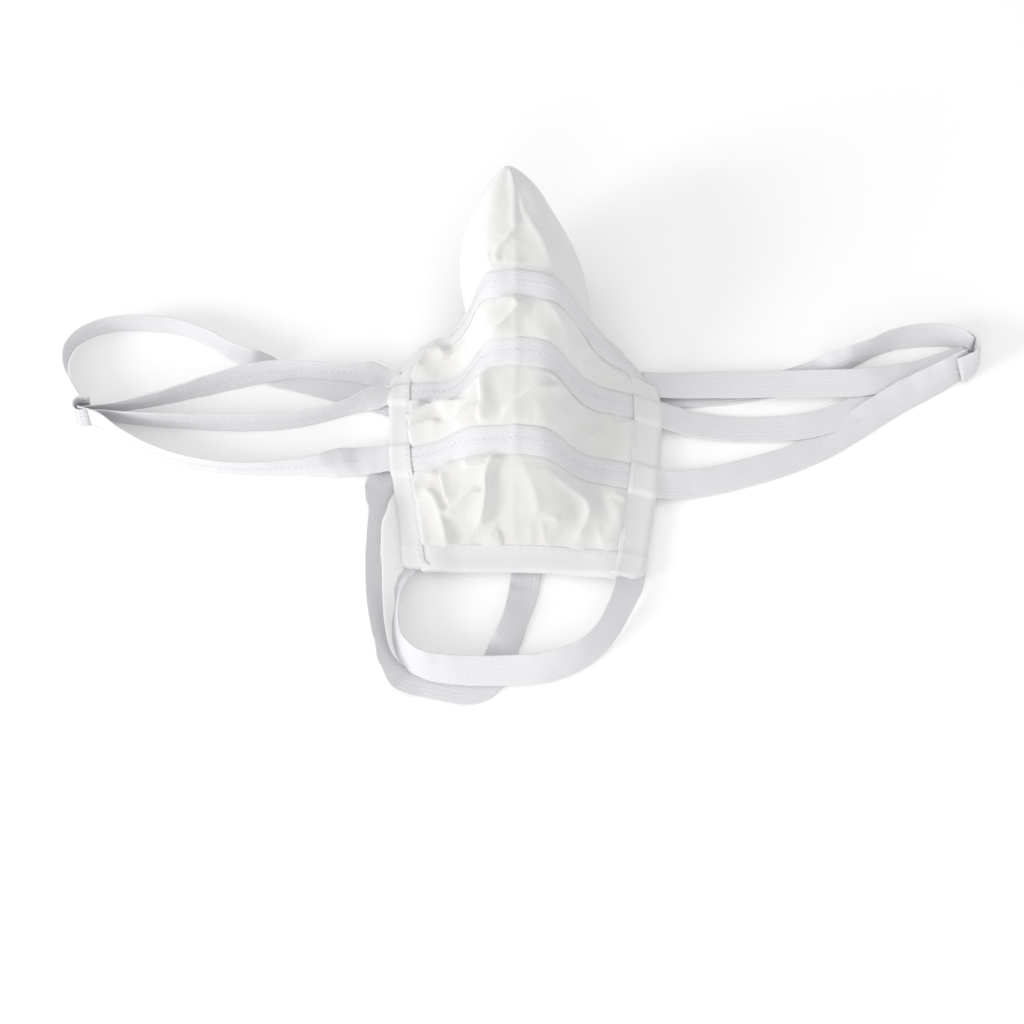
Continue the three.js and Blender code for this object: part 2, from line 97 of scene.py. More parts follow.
# Folds of the front. Each is a run of (across, up) shares, its height in mm, and
# how far it falls off on the left and on the right of its run, in mm.
FRONT_FOLDS = [
    # between the hem and the lower tape, left
    ([(-0.6, 0.345), (-0.68, 0.342), (-0.75, 0.338), (-0.81, 0.318), (-0.86, 0.29),
      (-0.89, 0.26)], 2.6, 1.7, 3.2),
    ([(-0.885, 0.27), (-0.88, 0.2), (-0.87, 0.14), (-0.83, 0.105)], 2, 2.4, 2.4),
    ([(-0.5, 0.382), (-0.545, 0.362), (-0.575, 0.342), (-0.57, 0.31), (-0.56, 0.28),
      (-0.555, 0.24)], 2.8, 2.6, 1.3),
    ([(-0.1, 0.385), (-0.17, 0.362), (-0.215, 0.345), (-0.235, 0.32), (-0.24, 0.3), (-0.245, 0.27),
      (-0.26, 0.235), (-0.29, 0.195), (-0.34, 0.165)], 3, 1.6, 3.4),
    ([(-0.23, 0.35), (-0.3, 0.354), (-0.36, 0.354), (-0.42, 0.358)], 2.4, 1.4, 2.6),
    ([(-0.25, 0.275), (-0.3, 0.276), (-0.34, 0.272), (-0.4, 0.262), (-0.45, 0.25), (-0.51, 0.235),
      (-0.56, 0.222), (-0.61, 0.22), (-0.64, 0.228)], 2.8, 2.4, 1.5),
    ([(-0.77, 0.298), (-0.71, 0.283), (-0.67, 0.26), (-0.645, 0.225), (-0.635, 0.18),
      (-0.635, 0.13), (-0.64, 0.09)], 2.6, 2.8, 3),
    ([(-0.25, 0.15), (-0.19, 0.138), (-0.12, 0.142)], 1.4, 4, 4),
    # between the lower and the middle tape, left
    ([(-0.93, 0.566), (-0.865, 0.575), (-0.765, 0.597), (-0.68, 0.615), (-0.595, 0.62),
      (-0.51, 0.61), (-0.43, 0.598)], 3.8, 1.3, 3.6),
    ([(-0.45, 0.485), (-0.38, 0.505), (-0.32, 0.52), (-0.265, 0.548)], 3.2, 1.3, 2.6),
    ([(-0.235, 0.672), (-0.24, 0.62), (-0.245, 0.57), (-0.255, 0.53), (-0.265, 0.5),
      (-0.25, 0.475)], 3, 3.2, 1.3),
    ([(-0.12, 0.475), (-0.06, 0.51), (0, 0.535), (0.05, 0.557), (0.1, 0.578), (0.17, 0.6),
      (0.215, 0.612), (0.25, 0.632), (0.235, 0.655), (0.19, 0.662)], 2.6, 1.8, 3),
    ([(-0.93, 0.635), (-0.85, 0.655), (-0.75, 0.662)], 2.2, 1.4, 2.5),
    ([(-0.93, 0.5), (-0.82, 0.528), (-0.7, 0.545), (-0.58, 0.54)], 2.6, 1.2, 2.8),
    # between the middle and the upper tape, left
    ([(-0.21, 0.755), (-0.15, 0.785), (-0.1, 0.803), (-0.05, 0.826), (0, 0.848), (0.012, 0.866),
      (-0.03, 0.884), (-0.08, 0.884), (-0.135, 0.87)], 2.8, 1.8, 3),
    ([(-0.95, 0.925), (-0.87, 0.955), (-0.76, 0.96), (-0.66, 0.945), (-0.58, 0.918), (-0.5, 0.9),
      (-0.42, 0.888)], 3.2, 3.4, 2),
    ([(-0.9, 0.985), (-0.83, 0.94), (-0.81, 0.9)], 1.6, 1.6, 1.6),
    # right of the crease: broad and soft
    ([(0.03, 0.365), (0.08, 0.32), (0.13, 0.28), (0.16, 0.24), (0.17, 0.21)], 1.8, 3.6, 2.4),
    ([(0.24, 0.338), (0.33, 0.315), (0.41, 0.3), (0.49, 0.285), (0.53, 0.26), (0.535, 0.23),
      (0.52, 0.2), (0.49, 0.165), (0.47, 0.13)], 2.2, 4.5, 1.8),
    ([(0.62, 0.21), (0.66, 0.165), (0.7, 0.122)], 0.9, 1.8, 1),
    ([(0.7, 0.335), (0.77, 0.33), (0.85, 0.312)], 0.8, 1.6, 1.2),
    ([(0.15, 0.218), (0.22, 0.212), (0.28, 0.208), (0.33, 0.196)], 1, 1.4, 1.4),
    ([(0.12, 0.18), (0.13, 0.118)], 0.9, 2, 2),
    ([(0.2, 0.185), (0.245, 0.118)], 0.9, 1.6, 1.6),
    ([(0.23, 0.88), (0.28, 0.852), (0.32, 0.825), (0.335, 0.797), (0.31, 0.772)], 1.3, 2.6, 1.6),
    ([(0.44, 0.798), (0.5, 0.812), (0.57, 0.838)], 1.2, 2.2, 1.2),
    ([(0.4, 0.79), (0.45, 0.85), (0.5, 0.885)], 1.5, 5, 5),
    ([(0.18, 0.64), (0.24, 0.61)], 0.9, 1.4, 1.4),
    ([(0.74, 0.625), (0.82, 0.64), (0.89, 0.655)], 1.1, 1.6, 1.6),
    ([(0.45, 0.5), (0.55, 0.56), (0.62, 0.6)], 1.2, 5, 4),
]
# Folds of the nose peak, in (across, up) shares of it.
PEAK_FOLDS = [
    ([(0.02, 0.98), (0.03, 0.7), (0.01, 0.5), (0, 0.33)], 0.9, 1.6, 1.2),
    ([(0, 0.33), (-0.15, 0.23), (-0.26, 0.18), (-0.33, 0.1), (-0.3, 0.03)], 1.1, 1, 1.6),
    ([(0.08, 0.62), (0.18, 0.45), (0.26, 0.37), (0.34, 0.28), (0.46, 0.06)], 0.8, 3, 1.8),
    ([(-0.47, 0.15), (-0.45, 0.08), (-0.42, 0)], 1, 0.9, 1.1),
    ([(-0.22, 0.05), (-0.05, 0.03), (0.1, 0.03)], 0.7, 1.4, 1.4),
]

# Free tapes: [x, y, roll, lift] along the centre line. Roll 0 lies flat, 90 stands on edge, and a
# positive roll raises the side on the left of the direction of travel. Lift is the clearance
# under the lower edge.
TAPES = {
    "upper_strap_left": [
        [-46.5, 91, -20, 3.3], [-51, 91.1, -34, 2.5], [-56, 91.3, -56, 1.6], [-62, 91.5, -76, 1.2],
        [-68, 91.8, -86, 1.3], [-77, 92.4, -89, 1.3], [-89, 93.2, -86, 1.3], [-100, 92.4, -78, 1.3],
        [-112, 90, -74, 1], [-124, 86.5, -80, 0.4], [-135, 82.9, -89, 0.3], [-146, 79.6, -95, 0.3],
        [-157.5, 77.4, -95, 0.3], [-168.6, 75.9, -93, 0.3], [-177.4, 75.2, -90, 0.3]],
    "middle_strap_left": [
        [-46.6, 83.6, -20, 3.3], [-51.2, 82.4, -34, 2.4], [-56, 80.6, -56, 1.4],
        [-62, 78, -78, 0.9], [-67.5, 75.6, -89, 0.7], [-75, 72.9, -92, 0.4], [-86, 70.2, -89, 0.2],
        [-98, 68.8, -85, 0.2], [-110, 68.3, -85, 0.2], [-122, 68.5, -87, 0.2],
        [-134, 68.9, -92, 0.2], [-146, 69.5, -95, 0.3], [-157.5, 71, -95, 0.3],
        [-168.6, 73.1, -93, 0.3], [-177.6, 73.9, -90, 0.3]],
    "lower_strap_left": [
        [-45.6, 51.9, 0, 4.2], [-50.4, 52.4, 0, 3.9], [-56, 52.6, -4, 2], [-63, 52, -14, 0.6],
        [-71, 50, -44, 0.2], [-79, 48.2, -74, 0.2], [-89, 47.3, -88, 0.2], [-100, 46.6, -95, 0.2],
        [-112, 46.7, -98, 0.2], [-124, 48.2, -98, 0.2], [-136, 51, -96, 0.2],
        [-148, 55.8, -94, 0.2], [-159, 62.4, -94, 0.2], [-168.4, 69.6, -92, 0.2],
        [-176.9, 72.5, -90, 0.2]],
    "back_strap_left": [
        [-49.6, 80, 0, 0.03], [-54.2, 81.4, 0, 0], [-60, 83.8, 0, 0], [-68, 86.7, 0, 0],
        [-79, 89.9, 0, 0], [-89, 92.7, 0, 0], [-97, 94.6, -4, 0], [-103, 96.2, -32, 0],
        [-109, 98.8, -70, 0.1], [-116, 102.8, -84, 0.2], [-124, 108, -88, 0.2],
        [-132, 112.2, -89, 0.2], [-140, 115, -90, 0.2], [-149, 116.4, -90, 0.2],
        [-158, 116.8, -91, 0.2], [-167, 116, -93, 0.2], [-175, 113.2, -94, 0.2],
        [-181.4, 108.4, -94, 0.2], [-184.6, 101, -90, 0.2], [-183.8, 92.4, -88, 0.2],
        [-180.4, 84.8, -89, 0.2], [-175.6, 76.6, -90, 0.2]],
    "upper_strap_right": [
        [51.5, 89, 0, 2.6], [57, 88.5, 1, 2.6], [63.5, 88.1, 5, 2.3], [72, 88.1, 7, 2],
        [84, 88.2, 8, 2], [112, 88.5, 9, 2.2], [128, 88.5, 14, 2.2], [142, 89, 16, 2.2],
        [157, 91.8, 6, 2.4], [171, 96, -2, 2.6], [181.6, 100.2, -4, 2.6], [187.6, 102.4, -10, 2.2]],
    "middle_strap_right": [
        [53.4, 73.6, 0, 4.2], [58.2, 73.4, 0, 4], [64.4, 72.3, -1, 2.2], [72.4, 70.5, -2, 0.6],
        [83.5, 69, -2, 0.3], [95, 68.3, 0, 0.3], [106, 68.4, 0, 0.6], [117, 69.4, 2, 1],
        [128, 72.4, 0, 1.2], [138, 77, 0, 1.2], [148, 82.8, 0, 1.2], [159, 88.2, 0, 1.2],
        [171, 94, 0, 1.2], [180.8, 99.8, 0, 1.2]],
    "lower_strap_right": [
        [51.6, 40, 4, 4.1], [56, 40.2, 8, 3.6], [62, 40.7, 12, 1.6], [72, 42, 15, 0.2],
        [85, 45, 10, 0.1], [99, 49.5, 6, 0.1], [112, 54.4, 3, 0], [125, 61, 0, 0], [137, 69, 7, 0],
        [149, 77.4, 17, 0], [161, 84.6, 29, 0], [171, 89.8, 42, 0], [179.4, 94.4, 56, 0.1],
        [186, 99, 74, 0.2]],
    "back_strap_right": [
        [57, 84.7, 0, 0.03], [61.6, 84.8, 0, 0], [76, 85.4, 0, 0], [91, 86.9, 0, 0],
        [106, 89.8, 0, 0], [116, 92.8, 0, 0], [124, 94.9, 8, 0], [132, 97.6, 42, 0.1],
        [139.6, 100.8, 72, 0.2], [147, 104.4, 80, 0.2], [155, 108.2, 76, 0.2],
        [163.5, 110.2, 69, 0.2], [172, 111, 68, 0.2], [180, 110.2, 74, 0.2], [186, 107.4, 86, 0.2],
        [188.4, 105.4, 90, 0.2]],
    "back_strap_middle": [
        [-51.6, 80.5, 0, 0], [-42, 77.6, 0, 0], [0, 80, 0, 0], [40, 83.8, 0, 0],
        [58.2, 84.8, 0, 0]],
    "chin_loop": [
        [-40.4, 4.4, 18, 1.1], [-42.2, 0, 38, 1], [-44.2, -5, 62, 0.6], [-45.8, -13.4, 80, 0.2],
        [-46.5, -22.3, 78, 0.2], [-45.4, -31, 76, 1], [-42, -37.4, 68, 1.9],
        [-36.8, -41.2, 58, 1.7], [-28.6, -43, 46, 1.5], [-17, -43.6, 38, 1.4], [-4, -43.5, 36, 1.4],
        [9, -42.6, 40, 1.2], [20, -39.4, 48, 0.6], [28.6, -34.2, 54, 0.2], [35.4, -26.4, 52, 0.2],
        [40.4, -16.8, 46, 0.4], [43.2, -9.8, 38, 1], [45, -4, 20, 1.3], [45.6, 1.6, 6, 1.3]],
    # the neck tape in one length: up the left side, round its loop and under the front
    "neck_tape": [
        [-46.4, 56, 0, 0.3], [-49.6, 51.2, 0, 0.2], [-52.6, 45.6, -4, 0.2], [-54.4, 40, -18, 0.2],
        [-55.3, 33, -44, 0.2], [-55.7, 24, -68, 0.2], [-56, 13, -66, 0.2], [-55.8, 2.6, -60, 0.2],
        [-55.3, -10, -60, 0.2], [-53.8, -23, -62, 0.2], [-51.6, -32.6, -62, 0.2],
        [-48.6, -40, -44, 0.1], [-43, -45.2, -8, 0], [-35.4, -46.8, 0, 0], [-27, -48.6, 0, 0],
        [-20, -50, 0, 0], [-13.6, -48.4, 0, 0], [-9.2, -43.4, 0, 0], [-6.4, -36.6, 0, 0],
        [-2.8, -28.4, 28, 0], [0.2, -19.6, 34, 0], [2.8, -9.8, 20, 0], [3.9, -3, 3, 0],
        [4.5, 3.4, 0, 0], [5.7, 12, 0, 0], [12, 22, 0, 0], [26, 30.6, 0, 0], [44, 36.4, 0, 0],
        [54, 38.6, 0, 0]],
}
SIDES = ((-1, "left"), (1, "right"))
# Start and end of a bend of each free tape between the mask and its own body; nothing bends the
# tapes.
LEFT_BEND = ((-51.5, 0, 0), (-64, 0, 0))
RIGHT_BEND = ((59.5, 0, 0), (72, 0, 0))
LOOP_BEND = ((0, 8, 0), (0, -6, 0))
CHIN_BEND = ((0, 0.5, 0), (0, -9, 0))


def metres(points):
    """Hem millimetres to metres in the frame."""
    return (np.asarray(points, float) - HEM) * MM


def place(x, y, z):
    """One point in hem millimetres, as a tuple of metres in the frame."""
    return tuple(float(value) for value in metres([x, y, z]))


# ---- curves and surfaces ---------------------------------------------------------------------
def spread(*values):
    """Numbers or arrays as float arrays of one shape."""
    return np.broadcast_arrays(*[np.asarray(value, float) for value in values])


def distances(points):
    """Distance of each point of a line from its first."""
    steps = np.linalg.norm(np.diff(points, axis=0), axis=1)
    return np.concatenate([[0], np.cumsum(steps)])


def smooth(x):
    """0 up to x = 0, 1 from x = 1 on, and a smooth rise between."""
    x = np.clip(x, 0.0, 1.0)
    return x * x * (3 - 2 * x)


def unit(vectors):
    """Vectors scaled to length 1."""
    return vectors / np.maximum(np.linalg.norm(vectors, axis=-1, keepdims=True), 1e-9)


def along(values, v):
    """Smooth value of a list given at the front's lines."""
    values = np.asarray(values, float)
    n = len(LINES)
    k = np.clip(np.searchsorted(LINES, v, side="right") - 1, 0, n - 2)
    low, high = np.clip(np.arange(n) - 1, 0, n - 1), np.clip(np.arange(n) + 1, 0, n - 1)
    shape = (-1,) + (1,) * (values.ndim - 1)
    slopes = (values[high] - values[low]) / (LINES[high] - LINES[low]).reshape(shape)
    span = LINES[k + 1] - LINES[k]
    s = (v - LINES[k]) / span
    if values.ndim > 1:
        s, span = s[..., None], span[..., None]
    start = (2 * s**3 - 3 * s**2 + 1) * values[k] + (s**3 - 2 * s**2 + s) * span * slopes[k]
    return start + (3 * s**2 - 2 * s**3) * values[k + 1] + (s**3 - s**2) * span * slopes[k + 1]


def crown(t, full):
    """Height share of the crown at a share t of the half width: 1 on the ridge, 0 on the edge."""
    bell, edge = 1 / (1 + (t / full) ** CROWN_POWER), 1 / (1 + (1 / full) ** CROWN_POWER)
    return (bell - edge) / (1 - edge)


def crease(t):
    """Height share of the pressed crease at a share t of the half width."""
    return np.exp(-t / CREASE_SPREAD) - math.exp(-1 / CREASE_SPREAD)


def rounded(u, v):
    """Draws the corners in, so that the side edges turn smoothly into the top line and the hem."""
    high = np.clip((v - CORNER_START) / (1 - CORNER_START), 0, 1) ** CORNER_BEND
    low = np.clip(1 - v / CORNER_END, 0, 1) ** 2
    share = np.where(u < 0, CORNER[-1], CORNER[1]) * high + CORNER_LOW * low
    return u * (1 - share * smooth((np.abs(u) - CORNER_FROM) / (1 - CORNER_FROM)))


def from_ridge(ridge, edge, t, height):
    """Points at shares t of the way from a ridge to a side edge, at the given heights."""
    x = ridge[..., 0] + (edge[..., 0] - ridge[..., 0]) * t
    y = ridge[..., 1] + (edge[..., 1] - ridge[..., 1]) * t * t
    return np.stack([x, y, height], -1)


def front_point(u, v):
    """Point of the front at u (-1 left edge, 0 ridge, 1 right edge) and v."""
    u, v = spread(u, v)
    u = rounded(u, v)
    t = np.abs(u)
    ridge = along(RIDGE, v)
    fold = CREASE_HEIGHT * np.clip(v / CREASE_START, 0, 1) * crease(t)
    halves = []
    for side in (-1, 1):
        rise = (ridge[..., 2] - EDGE_HEIGHT) * crown(t, along(FULL[side], v))
        height = EDGE_HEIGHT + rise + fold + side_slope(t)
        halves.append(from_ridge(ridge, along(EDGE[side], v), t, height))
    return np.where((u < 0)[..., None], *halves)


def side_slope(t):
    """The cloth swells beside the bindings and slopes down under them."""
    swell = SWELL[0] * np.exp(-((t - SWELL[1]) / SWELL[2]) ** 2)
    return swell - SLOPE[0] * smooth((t - SLOPE[1]) / (1 - SLOPE[1]))


def curve_point(points, s):
    """Centripetal curve through points, at shares s of its spans."""
    points, s = np.asarray(points, float), np.atleast_1d(np.asarray(s, float))
    count = len(points) - 1
    k = np.clip(np.floor(s * count).astype(int), 0, count - 1)
    w = (s * count - k)[:, None]
    ends = np.vstack([2 * points[0] - points[1], points, 2 * points[-1] - points[-2]])
    p0, p1, p2, p3 = ends[k], ends[k + 1], ends[k + 2], ends[k + 3]

    def gap(a, b):
        return np.maximum(np.sum((a - b) ** 2, -1) ** 0.25, 1e-6)[:, None]

    d0, d1, d2 = gap(p0, p1), gap(p1, p2), gap(p2, p3)
    t1 = ((p1 - p0) / d0 - (p2 - p0) / (d0 + d1) + (p2 - p1) / d1) * d1
    t2 = ((p2 - p1) / d1 - (p3 - p1) / (d1 + d2) + (p3 - p2) / d2) * d1
    square, cube = -3 * p1 + 3 * p2 - 2 * t1 - t2, 2 * p1 - 2 * p2 + t1 + t2
    return p1 + t1 * w + square * w**2 + cube * w**3


def peak_point(u, w):
    """Point of the nose peak at u (-1 left edge, 0 ridge, 1 right edge) and w, 0 root to 1 tip."""
    u, w = spread(u, w)
    flat_w = np.clip(w.ravel(), 0, 1)
    ridge = curve_point(PEAK_RIDGE, flat_w).reshape(w.shape + (3,))
    t = np.abs(u)
    halves = []
    for side in (-1, 1):
        half = PEAK_ROOT[side]
        root_end = front_point(side * half, 1.0).reshape(1, 3)
        edge = curve_point(np.vstack([root_end, PEAK_EDGE[side]]), flat_w).reshape(w.shape + (3,))
        root = crown(half, FULL[side][-1])
        arch = (crown(half * t, FULL[side][-1]) - root) / (1 - root)
        fold = CREASE_HEIGHT * (1 - w) * crease(t * half) * (1 - t)
        height = edge[..., 2] + (ridge[..., 2] - edge[..., 2]) * arch + fold
        halves.append(from_ridge(ridge, edge, t, height))
    return np.where((u < 0)[..., None], *halves)


def surface_normal(surface, u, v, low=-10.0, high=10.0):
    """Outward normal; beside the ridge it turns into the ridge's own plane."""
    h = 1e-3
    v = np.clip(v, low + h, high - h)
    across = surface(u + h, v) - surface(u - h, v)
    up = surface(u, v + h) - surface(u, v - h)
    normal = unit(np.cross(across, up))
    normal[normal[..., 2] < 0] *= -1
    normal[..., 0] *= np.minimum(1, np.abs(u) * 6)
    return unit(normal)


def layer(surface, u, v, offset, low=-10.0, high=10.0):
    """Point of a surface moved out along its normal by an offset in mm."""
    u, v, shift = spread(u, v, offset)
    return surface(u, v) + surface_normal(surface, u, v, low, high) * shift[..., None]


def front_layer(u, v, offset):
    return layer(front_point, u, v, offset)


def peak_layer(u, w, offset):
    return layer(peak_point, u, w, offset, 0.0, 1.0)


def even_stations(surface_line, low, high, count):
    """Parameters from low to high that lie evenly spaced along a line of a surface."""
    fine = np.linspace(low, high, 400)
    length = distances(surface_line(fine))
    return np.interp(np.linspace(0, length[-1], count), length, fine)


# ---- meshes ----------------------------------------------------------------------------------
def mesh_object(name, points, faces, material, uv):
    """A smooth closed mesh object from points in hem millimetres; uv is in millimetres of cloth."""
    mesh = bpy.data.meshes.new(name)
    mesh.from_pydata(metres(points).tolist(), [], faces)
    mesh.polygons.foreach_set("use_smooth", [True] * len(mesh.polygons))
    layer_of_uv = mesh.uv_layers.new(name="cloth")
    corners = np.empty(len(mesh.loops), int)
    mesh.loops.foreach_get("vertex_index", corners)
    layer_of_uv.data.foreach_set("uv", np.asarray(uv, float)[corners].ravel())
    mesh.update()
    piece = bpy.data.objects.new(name, mesh)
    bpy.context.collection.objects.link(piece)
    piece.data.materials.append(material)
    turn_outward(piece)
    return piece


def grid_uv(grid):
    """Cloth coordinates of a grid of points: lengths along its middle row and column."""
    a = distances(grid[:, grid.shape[1] // 2])
    b = distances(grid[grid.shape[0] // 2])
    return np.stack(np.meshgrid(a, b, indexing="ij"), -1).reshape(-1, 2)


def grid_faces(n, m):
    """Faces over a grid of n by m points."""
    return [(i * m + j, (i + 1) * m + j, (i + 1) * m + j + 1, i * m + j + 1)
            for i in range(n - 1) for j in range(m - 1)]


def slab_faces(n, m):
    """Faces of a closed thin body between two grids of n by m points."""
    under = n * m
    top = grid_faces(n, m)
    bottom = [(a + under, d + under, c + under, b + under) for a, b, c, d in top]
    rim = [i * m for i in range(n)] + [(n - 1) * m + j for j in range(1, m)]
    rim += [i * m + m - 1 for i in reversed(range(n - 1))] + list(reversed(range(m - 1)))
    return top + bottom + [(a, a + under, b + under, b) for a, b in zip(rim, rim[1:])]


def tube_faces(rings, sides, first=0):
    """Faces of a closed tube of rings of points, from the point number first on."""
    last = first + (rings - 1) * sides
    faces = []
    for start in range(first, last, sides):
        for j in range(sides):
            a, b = start + j, start + (j + 1) % sides
            faces.append((a, a + sides, b + sides, b))
    faces.append(tuple(range(first, first + sides)))
    faces.append(tuple(reversed(range(last, last + sides))))
    return faces


def slab(name, outer, inner, material):
    """A closed thin body between an outer and an inner grid of points."""
    points = np.concatenate([outer.reshape(-1, 3), inner.reshape(-1, 3)])
    return mesh_object(name, points, slab_faces(*outer.shape[:2]), material,
                       np.tile(grid_uv(outer), (2, 1)))


def tape_tube(name, points, distance, across):
    """A closed tape from rings of points at distances along it and across it."""
    uv = np.stack(np.broadcast_arrays(distance[:, None], across[None, :]), -1).reshape(-1, 2)
    return mesh_object(name, points.reshape(-1, 3), tube_faces(*points.shape[:2]), ELASTIC, uv)


def belongs(piece, body, slot, *nodes):
    """Hides the parts of the nodes that a piece stands for and lets the given body carry it; slot
    is not used.
    """
    if nodes:
        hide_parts(*nodes)
    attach(piece, body)


def turn_outward(piece):
    """Turns the faces of a closed mesh so that they point out of it."""
    mesh = piece.data
    mesh.calc_loop_triangles()
    points = np.empty(len(mesh.vertices) * 3)
    mesh.vertices.foreach_get("co", points)
    points = points.reshape(-1, 3)
    corners = np.array([triangle.vertices[:] for triangle in mesh.loop_triangles])
    a, b, c = points[corners[:, 0]], points[corners[:, 1]], points[corners[:, 2]]
    if np.sum(a * np.cross(b, c)) < 0:
        mesh.flip_normals()


def waves(x, y, length, seed):
    """Smooth seeded unevenness about zero, a few sine waves of about the given length."""
    random = np.random.default_rng(seed)
    total = 0.0
    for _ in range(6):
        angle, phase = random.uniform(0, 2 * math.pi, 2)
        stretch = random.uniform(0.7, 1.5)
        turn = 2 * math.pi / (length * stretch)
        total = total + np.sin(turn * (x * math.cos(angle) + y * math.sin(angle)) + phase)
    return total / 6


# ---- materials -------------------------------------------------------------------------------
def node(tree, kind, inputs=(), **settings):
    """Adds a shader node, sets its settings and links or sets its inputs."""
    made = tree.nodes.new(kind)
    for key, value in settings.items():
        setattr(made, key, value)
    for key, value in dict(inputs).items():
        if isinstance(value, bpy.types.NodeSocket):
            tree.links.new(value, made.inputs[key])
        else:
            made.inputs[key].default_value = value
    return made


def maths(tree, operation, a, b=0.0):
    """The result of a maths node."""
    return node(tree, "ShaderNodeMath", {0: a, 1: b}, operation=operation).outputs[0]


def scaled(tree, value, factor, added=0.0):
    """value * factor + added."""
    return node(tree, "ShaderNodeMath", {0: value, 1: factor, 2: added},
                operation="MULTIPLY_ADD").outputs[0]


def wave(tree, kind, value, length):
    """A sine or cosine of the given length in mm."""
    return maths(tree, kind, scaled(tree, value, 2 * math.pi / length))


def cloth_material(name, color, spots, roughness, sheen, glow, weave, depth, rough_face=0.0):
    """White cloth: weave is a function that returns the height of its pattern; depth is in mm."""
    material = bpy.data.materials.new(name)
    material.use_nodes = True
    tree = material.node_tree
    tree.nodes.clear()
    uv = node(tree, "ShaderNodeUVMap", uv_map="cloth").outputs["UV"]
    at = node(tree, "ShaderNodeSeparateXYZ", {0: uv}).outputs
    fibres = node(tree, "ShaderNodeTexNoise",
                  {"Vector": uv, "Scale": 2.2, "Detail": 6.0, "Roughness": 0.72}).outputs["Fac"]
    clouds = node(tree, "ShaderNodeTexNoise",
                  {"Vector": uv, "Scale": 0.09, "Detail": 3.0}).outputs["Fac"]
    height = scaled(tree, fibres, 0.55, weave(tree, at["X"], at["Y"]))
    # Painted shade: the colour darkens where the relief is low, in its hollows, mixed with a random
    # cloudy tone.
    shade_and_tone_mix = scaled(tree, height, 0.35, scaled(tree, clouds, 0.5))
    shade_and_tone_color = [c * (1 - spots) for c in color]
    mix = node(tree, "ShaderNodeMix", {0: shade_and_tone_mix, 6: (*shade_and_tone_color, 1), 7: (*color, 1)},
               data_type="RGBA").outputs[2]
    bump = node(tree, "ShaderNodeBump",
                {"Height": height, "Strength": 0.55, "Distance": depth * MM}).outputs[0]
    surface = node(tree, "ShaderNodeBsdfPrincipled", {
        "Base Color": mix, "Roughness": roughness, "Normal": bump, "Specular IOR Level": 0.25,
        "Diffuse Roughness": rough_face, "Sheen Weight": sheen, "Sheen Roughness": 0.5})
    through = node(tree, "ShaderNodeBsdfTranslucent", {"Color": mix, "Normal": bump})
    both = node(tree, "ShaderNodeMixShader",
                {0: glow, 1: surface.outputs[0], 2: through.outputs[0]})
    node(tree, "ShaderNodeOutputMaterial", {"Surface": both.outputs[0]})
    return material


def bonded_dots(tree, x, y, pitch=1.3):
    """Small pressed dots of a spun-bonded cloth, in staggered rows."""
    a = wave(tree, "SINE", maths(tree, "ADD", x, y), pitch)
    b = wave(tree, "SINE", maths(tree, "SUBTRACT", x, y), pitch)
    dots = maths(tree, "MAXIMUM", maths(tree, "MULTIPLY", a, b), 0.2)
    return scaled(tree, dots, -0.5, 0.6)


def brushed(tree, x, y):
    """Faint nap that runs along the cloth."""
    nap = node(tree, "ShaderNodeCombineXYZ", {0: scaled(tree, x, 0.4), 1: scaled(tree, y, 2.4)})
    return node(tree, "ShaderNodeTexNoise",
                {"Vector": nap.outputs[0], "Scale": 1.4, "Detail": 4.0}).outputs["Fac"]


def web(tree, x, y):
    """Loose web of fine fibres."""
    spot = node(tree, "ShaderNodeCombineXYZ", {0: x, 1: y})
    return node(tree, "ShaderNodeTexVoronoi", {"Vector": spot.outputs[0], "Scale": 1.6},
                feature="SMOOTH_F1").outputs["Distance"]


def knitted_ribs(tree, x, y, rib_step=1.0, row_step=0.85):
    """Ribs along an elastic tape, broken by its knitted rows; x runs along it and y across."""
    ribs = scaled(tree, wave(tree, "COSINE", y, rib_step), 0.28, 0.5)
    stagger = wave(tree, "SINE", y, 2 * rib_step)
    turn = scaled(tree, stagger, 0.9, scaled(tree, x, 2 * math.pi / row_step))
    return scaled(tree, maths(tree, "COSINE", turn), 0.22, ribs)


def twill(tree, x, y, rib_step=0.8):
    """Fine slanting ribs of a narrow woven strip."""
    slant = scaled(tree, y, 0.8, x)
    return scaled(tree, wave(tree, "SINE", slant, rib_step), 0.3, 0.5)


def spun_thread(tree, x, y):
    """Slanting plies of a sewing thread."""
    slant = scaled(tree, x, 6.0, scaled(tree, y, 9.0))
    return scaled(tree, maths(tree, "SINE", slant), 0.4, 0.5)


# name, color, how much darker it is painted in the low parts of its relief (painted shade) and in
# random clouds, roughness, sheen, light let through, pattern and its depth in mm
NON_WOVEN = cloth_material("non_woven_cloth", (0.84, 0.832, 0.82), 0.03, 0.95, 0.3, 0.04,
                           bonded_dots, 0.14, rough_face=1.0)
FILTER_WEB = cloth_material("filter_web", (0.84, 0.85, 0.86), 0.05, 1.0, 0.1, 0.12, web, 0.2)
LINING_CLOTH = cloth_material("lining_nap", (0.86, 0.855, 0.84), 0.05, 0.95, 0.4, 0.1,
                              brushed, 0.15)
ELASTIC = cloth_material("knitted_tape", (0.8, 0.795, 0.81), 0.09, 0.8, 0.3, 0.04,
                         knitted_ribs, 0.22)
# The binding and hem strip is a little darker than the cover: painted shade for the sloping
# bindings and the hem.
SHADED_BINDING_CLOTH = cloth_material("binding_strip_painted_shade", (0.825, 0.815, 0.823), 0.05, 0.88, 0.25, 0.05,
                               twill, 0.12)
THREAD = cloth_material("sewing_thread", (0.86, 0.86, 0.875), 0.04, 0.5, 0.2, 0.02,
                        spun_thread, 0.05)


# ---- stitches --------------------------------------------------------------------------------
THREAD_SIDES = 6
THREAD_RINGS = 6


